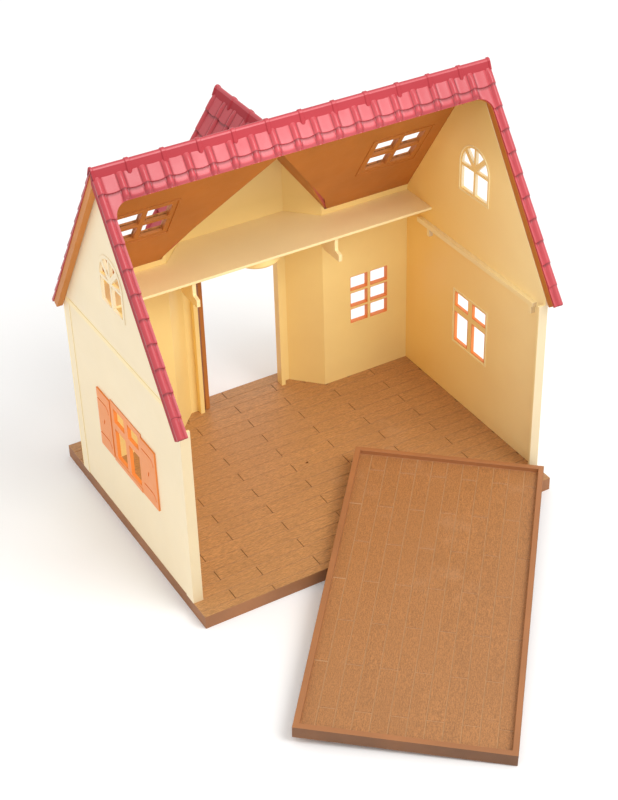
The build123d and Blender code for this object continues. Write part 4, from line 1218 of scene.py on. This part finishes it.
def window_outline(offset):
    """(y, z) outline of a ground floor window moved out by an offset: a rectangle."""
    low, high = WINDOW_MIDDLE - WINDOW_HALF - offset, WINDOW_MIDDLE + WINDOW_HALF + offset
    bottom, top = WINDOW_LOW - offset, WINDOW_HIGH + offset
    return np.array([(low, bottom), (low, top), (high, top), (high, bottom)])


def window_ridge(name, side, outline):
    """A low ridge round a window on a gable's inner face.

    Four outlines, each the window's own moved out by an offset, stand at foot, crest, crest and foot,
    and are joined in a ring that closes on itself both ways."""
    rings = []
    for offset, rise in zip(RIDGE_OFFSETS, (-RIDGE_SINK, RIDGE_RELIEF, RIDGE_RELIEF, -RIDGE_SINK)):
        places = outline(offset)
        rings.append(across_x(places[:, 0], places[:, 1], side * (GABLE_INSIDE - rise)))
    points = np.array(rings)
    index = np.arange(points.shape[0] * points.shape[1]).reshape(points.shape[:2])
    after = np.roll(index, -1, axis=0)
    faces = np.stack([index, np.roll(index, -1, axis=1), np.roll(after, -1, axis=1), after], -1)
    return fill_mesh(name, points, [faces.reshape(-1, 4)])


class COTTAGE_OT_walls(bpy.types.Operator):
    """Makes the cream walls, the shelf and the round moulding under it"""
    bl_idname = "cottage.walls"
    bl_label = "Walls and Shelf"

    def execute(self, context):
        edge = chosen_size("soft_edge")
        # The inner faces' warmer cream is painted bounce light
        inside = plastic("warm_cream_moulded_abs")
        # Painted shade: the facade's inner faces grow darker up under the roof
        shade_above(inside, *FACADE_SHADE)
        pale = plastic("pale_cream_moulded_abs")
        creams = [banded_cream(), room_shaded_cream(), plastic("front_cream_moulded_abs"), pale]
        for node in ("left_gable_wall", "right_gable_wall"):
            finish_node(node, "house", "cream_wall", creams, gable_faces, width=edge * WALL_EDGE)
        creams = [plastic("cream_moulded_abs"), inside]
        finish_node("facade_wall", "house", "cream_wall", creams, facade_inside, width=edge * WALL_EDGE)
        for side, name in ((-1, "left"), (1, "right")):
            for window, outline in (("arched", arch_outline), ("ground", window_outline)):
                ridge = window_ridge(name + "_" + window + "_window_ridge", side, outline)
                assign(ridge, [pale])
                dress(ridge, "house", "cream_wall")
        finish_node("loft_shelf", "house", "cream_wall", [pale], width=edge)
        finish_node("ceiling_rose", "house", "cream_wall", [inside], name="round_ceiling_moulding",
                    width=edge * ROSE_EDGE, segments=3, curved=True)
        return {"FINISHED"}


def tray_axes():
    """The tray's lowest corner, in millimetres, and its unit directions along and across the planks.

    The tray rises by the base's height over its reach, the level distance from its lowest corner to
    the base's front edge. The lowest corner is the vertex with the smallest sum of y and z."""
    places = vertex_places(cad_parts["upper_floor"].data)
    corner = places[np.argmin(places[:, 1] + places[:, 2])].astype(float)
    tilt = math.atan2(BASE_HIGH.z, TRAY_REACH)
    upward = np.array([0, -math.sin(tilt), math.cos(tilt)])
    ahead = np.array([0, math.cos(tilt), math.sin(tilt)])
    long_way = ahead * math.cos(TRAY_TURN) - np.array([math.sin(TRAY_TURN), 0, 0])
    return corner, long_way, np.cross(upward, long_way)


class COTTAGE_OT_floors(bpy.types.Operator):
    """Makes the wood-effect base and the lift-out upper floor"""
    bl_idname = "cottage.floors"
    bl_label = "Floors"

    def execute(self, context):
        brown, ochre = chosen_colour("floor_brown"), chosen_colour("tray_brown")
        wood = wood_effect_plastic("wood_effect_moulded_abs", brown, BASE_SEAMS, BASE_FIGURE)
        speckled = wood_effect_plastic("speckled_wood_effect_abs", ochre, TRAY_SEAMS, TRAY_FIGURE)
        base_corner = (BASE_LOW.x + BASE_JOINT_SHIFT, BASE_LOW.y + BASE_FIRST_PLANK - BASE_PLANK_WIDTH, 0)
        corner, long_way, cross_way = tray_axes()
        corner = corner + TRAY_JOINT_SHIFT * long_way + (TRAY_FIRST_PLANK - TRAY_PLANK_WIDTH) * cross_way
        # On the base the joint floors take a dark brown, painted shade; on the tray a pale scuffed tan
        for node, name, body, figured, joint, side, origin, ways, top in (
            ("base_plate", "planked_base", "house", wood, "dark_joint_abs", "worn_brown_moulded_abs",
             base_corner, ((1, 0, 0), (0, 1, 0), BASE_PLANK_WIDTH), BASE_HIGH.z),
            ("upper_floor", "planked_upper_floor", "upper_floor", speckled, "scuffed_joint_abs",
             "grimy_brown_moulded_abs", corner, (long_way, cross_way, TRAY_PLANK_WIDTH), TRAY_FLOOR),
        ):
            # The outward sides take a darker brown, painted shade, deepest on the tray
            browns = [figured, plastic(joint), plastic("plain_brown_moulded_abs"), plastic(side)]
            choose = joint_faces(origin, *ways, top)
            piece = finish_node(
                node, body, "brown_floor", browns, choose, name=name, width=FLOOR_EDGE, segments=1
            )
            plank_map(piece, origin, *ways)
        return {"FINISHED"}


def narrow_sides(axis):
    """A chooser that gives material 1, a deeper orange as painted shade, to a trim's narrow sides, 0 to faces
    that look along an axis.
    """
    return lambda centres, normals: np.abs(normals[:, axis]) < FACING


class COTTAGE_OT_trims(bpy.types.Operator):
    """Makes the orange window trims and shutters"""
    bl_idname = "cottage.trims"
    bl_label = "Windows and Shutters"

    def execute(self, context):
        oranges = [plastic("orange_moulded_abs"), plastic("deep_orange_moulded_abs")]
        for side in ("left", "right"):
            for node, name, axis in (
                ("_window_casing", side + "_window_trim", 0), ("_facade_window", side + "_facade_trim", 1),
                ("_front_shutter", None, 0), ("_rear_shutter", None, 0),
            ):
                finish_node(side + node, "house", "orange_trim", oranges, narrow_sides(axis), name=name)
        return {"FINISHED"}


class COTTAGE_OT_door(bpy.types.Operator):
    """Makes the plank door, its knobs and its pins"""
    bl_idname = "cottage.door"
    bl_label = "Door"

    def execute(self, context):
        wood = [plastic("brown_moulded_abs")]
        finish_node("door_leaf", "door", "brown_door", wood, width=THIN_EDGE)
        finish_node("door_hinge_pins", "door", "brown_door", wood, width=PIN_EDGE, curved=True)
        knobs = [plastic("orange_moulded_abs")]
        finish_node("door_knobs", "door", "orange_trim", knobs, width=KNOB_EDGE, curved=True)
        return {"FINISHED"}


def area_lamp(name, place, aim, size, power):
    """A square soft white lamp at a place, turned to aim at a point."""
    data = bpy.data.lights.new(name, "AREA")
    data.shape = "SQUARE"
    data.size = size
    data.energy = power
    lamp = bpy.data.objects.new(name, data)
    lamp.location = place
    lamp.rotation_euler = (Vector(aim) - Vector(place)).to_track_quat("-Z", "Y").to_euler()
    lamp.visible_camera = False
    bpy.context.scene.collection.objects.link(lamp)


def white_surroundings():
    """A world that lights the object evenly and that the camera, gloss and glass see as white."""
    world = bpy.data.worlds.new("white_surroundings")
    world.use_nodes = True
    tree = world.node_tree
    tree.nodes.clear()
    seen = add_node(tree, "LightPath", out="Is Camera Ray")
    for ray in ("Is Glossy Ray", "Is Transmission Ray"):
        seen = add_node(tree, "Math", seen, add_node(tree, "LightPath", out=ray), operation="MAXIMUM")
    lights = [add_node(tree, "Background", WHITE, strength) for strength in (AMBIENT, 1.0)]
    add_node(tree, "OutputWorld", add_node(tree, "MixShader", seen, *lights))
    return world


def photo_camera():
    """The photograph's camera, turned about the vertical, tilted down and rolled about its view."""
    camera = bpy.data.cameras.new("photo_camera")
    camera.lens = CAMERA_LENS
    camera.sensor_width = CAMERA_SENSOR
    camera.clip_end = CAMERA_REACH
    eye = bpy.data.objects.new("photo_camera", camera)
    aimed = Matrix.Rotation(CAMERA_TURN, 4, "Z") @ Matrix.Rotation(math.pi / 2 - CAMERA_TILT, 4, "X")
    eye.matrix_world = Matrix.Translation(CAMERA_PLACE) @ aimed @ Matrix.Rotation(CAMERA_ROLL, 4, "Z")
    bpy.context.scene.collection.objects.link(eye)
    return eye


class COTTAGE_OT_stage(bpy.types.Operator):
    """Sets the pale floor, the white surroundings, the lamps and the camera"""
    bl_idname = "cottage.stage"
    bl_label = "Stage"

    def execute(self, context):
        scene = context.scene
        corners = [(x * STAGE_HALF, y * STAGE_HALF, STAGE_Z) for x, y in ((-1, -1), (1, -1), (1, 1), (-1, 1))]
        floor = fill_mesh("pale_floor", corners, [[(0, 1, 2, 3)]])
        floor.data.materials.append(new_material("matt_white_card", linear(CARD_COLOUR), CARD_ROUGHNESS)[0])
        scene.world = white_surroundings()
        for lamp in LAMPS:
            area_lamp(*lamp)
        scene.camera = photo_camera()
        scene.view_settings.view_transform = "Standard"
        return {"FINISHED"}


OPERATORS = (
    COTTAGE_OT_stage,
    COTTAGE_OT_main_roof,
    COTTAGE_OT_dormer_roof,
    COTTAGE_OT_ridge_caps,
    COTTAGE_OT_liners,
    COTTAGE_OT_walls,
    COTTAGE_OT_floors,
    COTTAGE_OT_trims,
    COTTAGE_OT_door,
)


class COTTAGE_PT_sidebar(bpy.types.Panel):
    """Lists the cottage's pieces in the sidebar"""
    bl_label = "Toy Cottage"
    bl_idname = "COTTAGE_PT_sidebar"
    bl_space_type = "VIEW_3D"
    bl_region_type = "UI"
    bl_category = "Cottage"

    def draw(self, context):
        for operator in OPERATORS:
            self.layout.operator(operator.bl_idname)
        for group in (context.scene.cottage_sizes, context.scene.cottage_colours):
            for name in group.__annotations__:
                self.layout.prop(group, name)


CLASSES = (CottageSizes, CottageColours, *OPERATORS, COTTAGE_PT_sidebar)


def register():
    """Registers the classes and the settings of the scene."""
    for kind in CLASSES:
        bpy.utils.register_class(kind)
    bpy.types.Scene.cottage_sizes = PointerProperty(type=CottageSizes)
    bpy.types.Scene.cottage_colours = PointerProperty(type=CottageColours)


def unregister():
    """Removes the classes and the settings again."""
    del bpy.types.Scene.cottage_colours
    del bpy.types.Scene.cottage_sizes
    for kind in reversed(CLASSES):
        bpy.utils.unregister_class(kind)


def main():
    """Builds everything in order."""
    register()
    for operator in OPERATORS:
        group, name = operator.bl_idname.split(".")
        getattr(getattr(bpy.ops, group), name)()


if __name__ == "__main__":
    main()
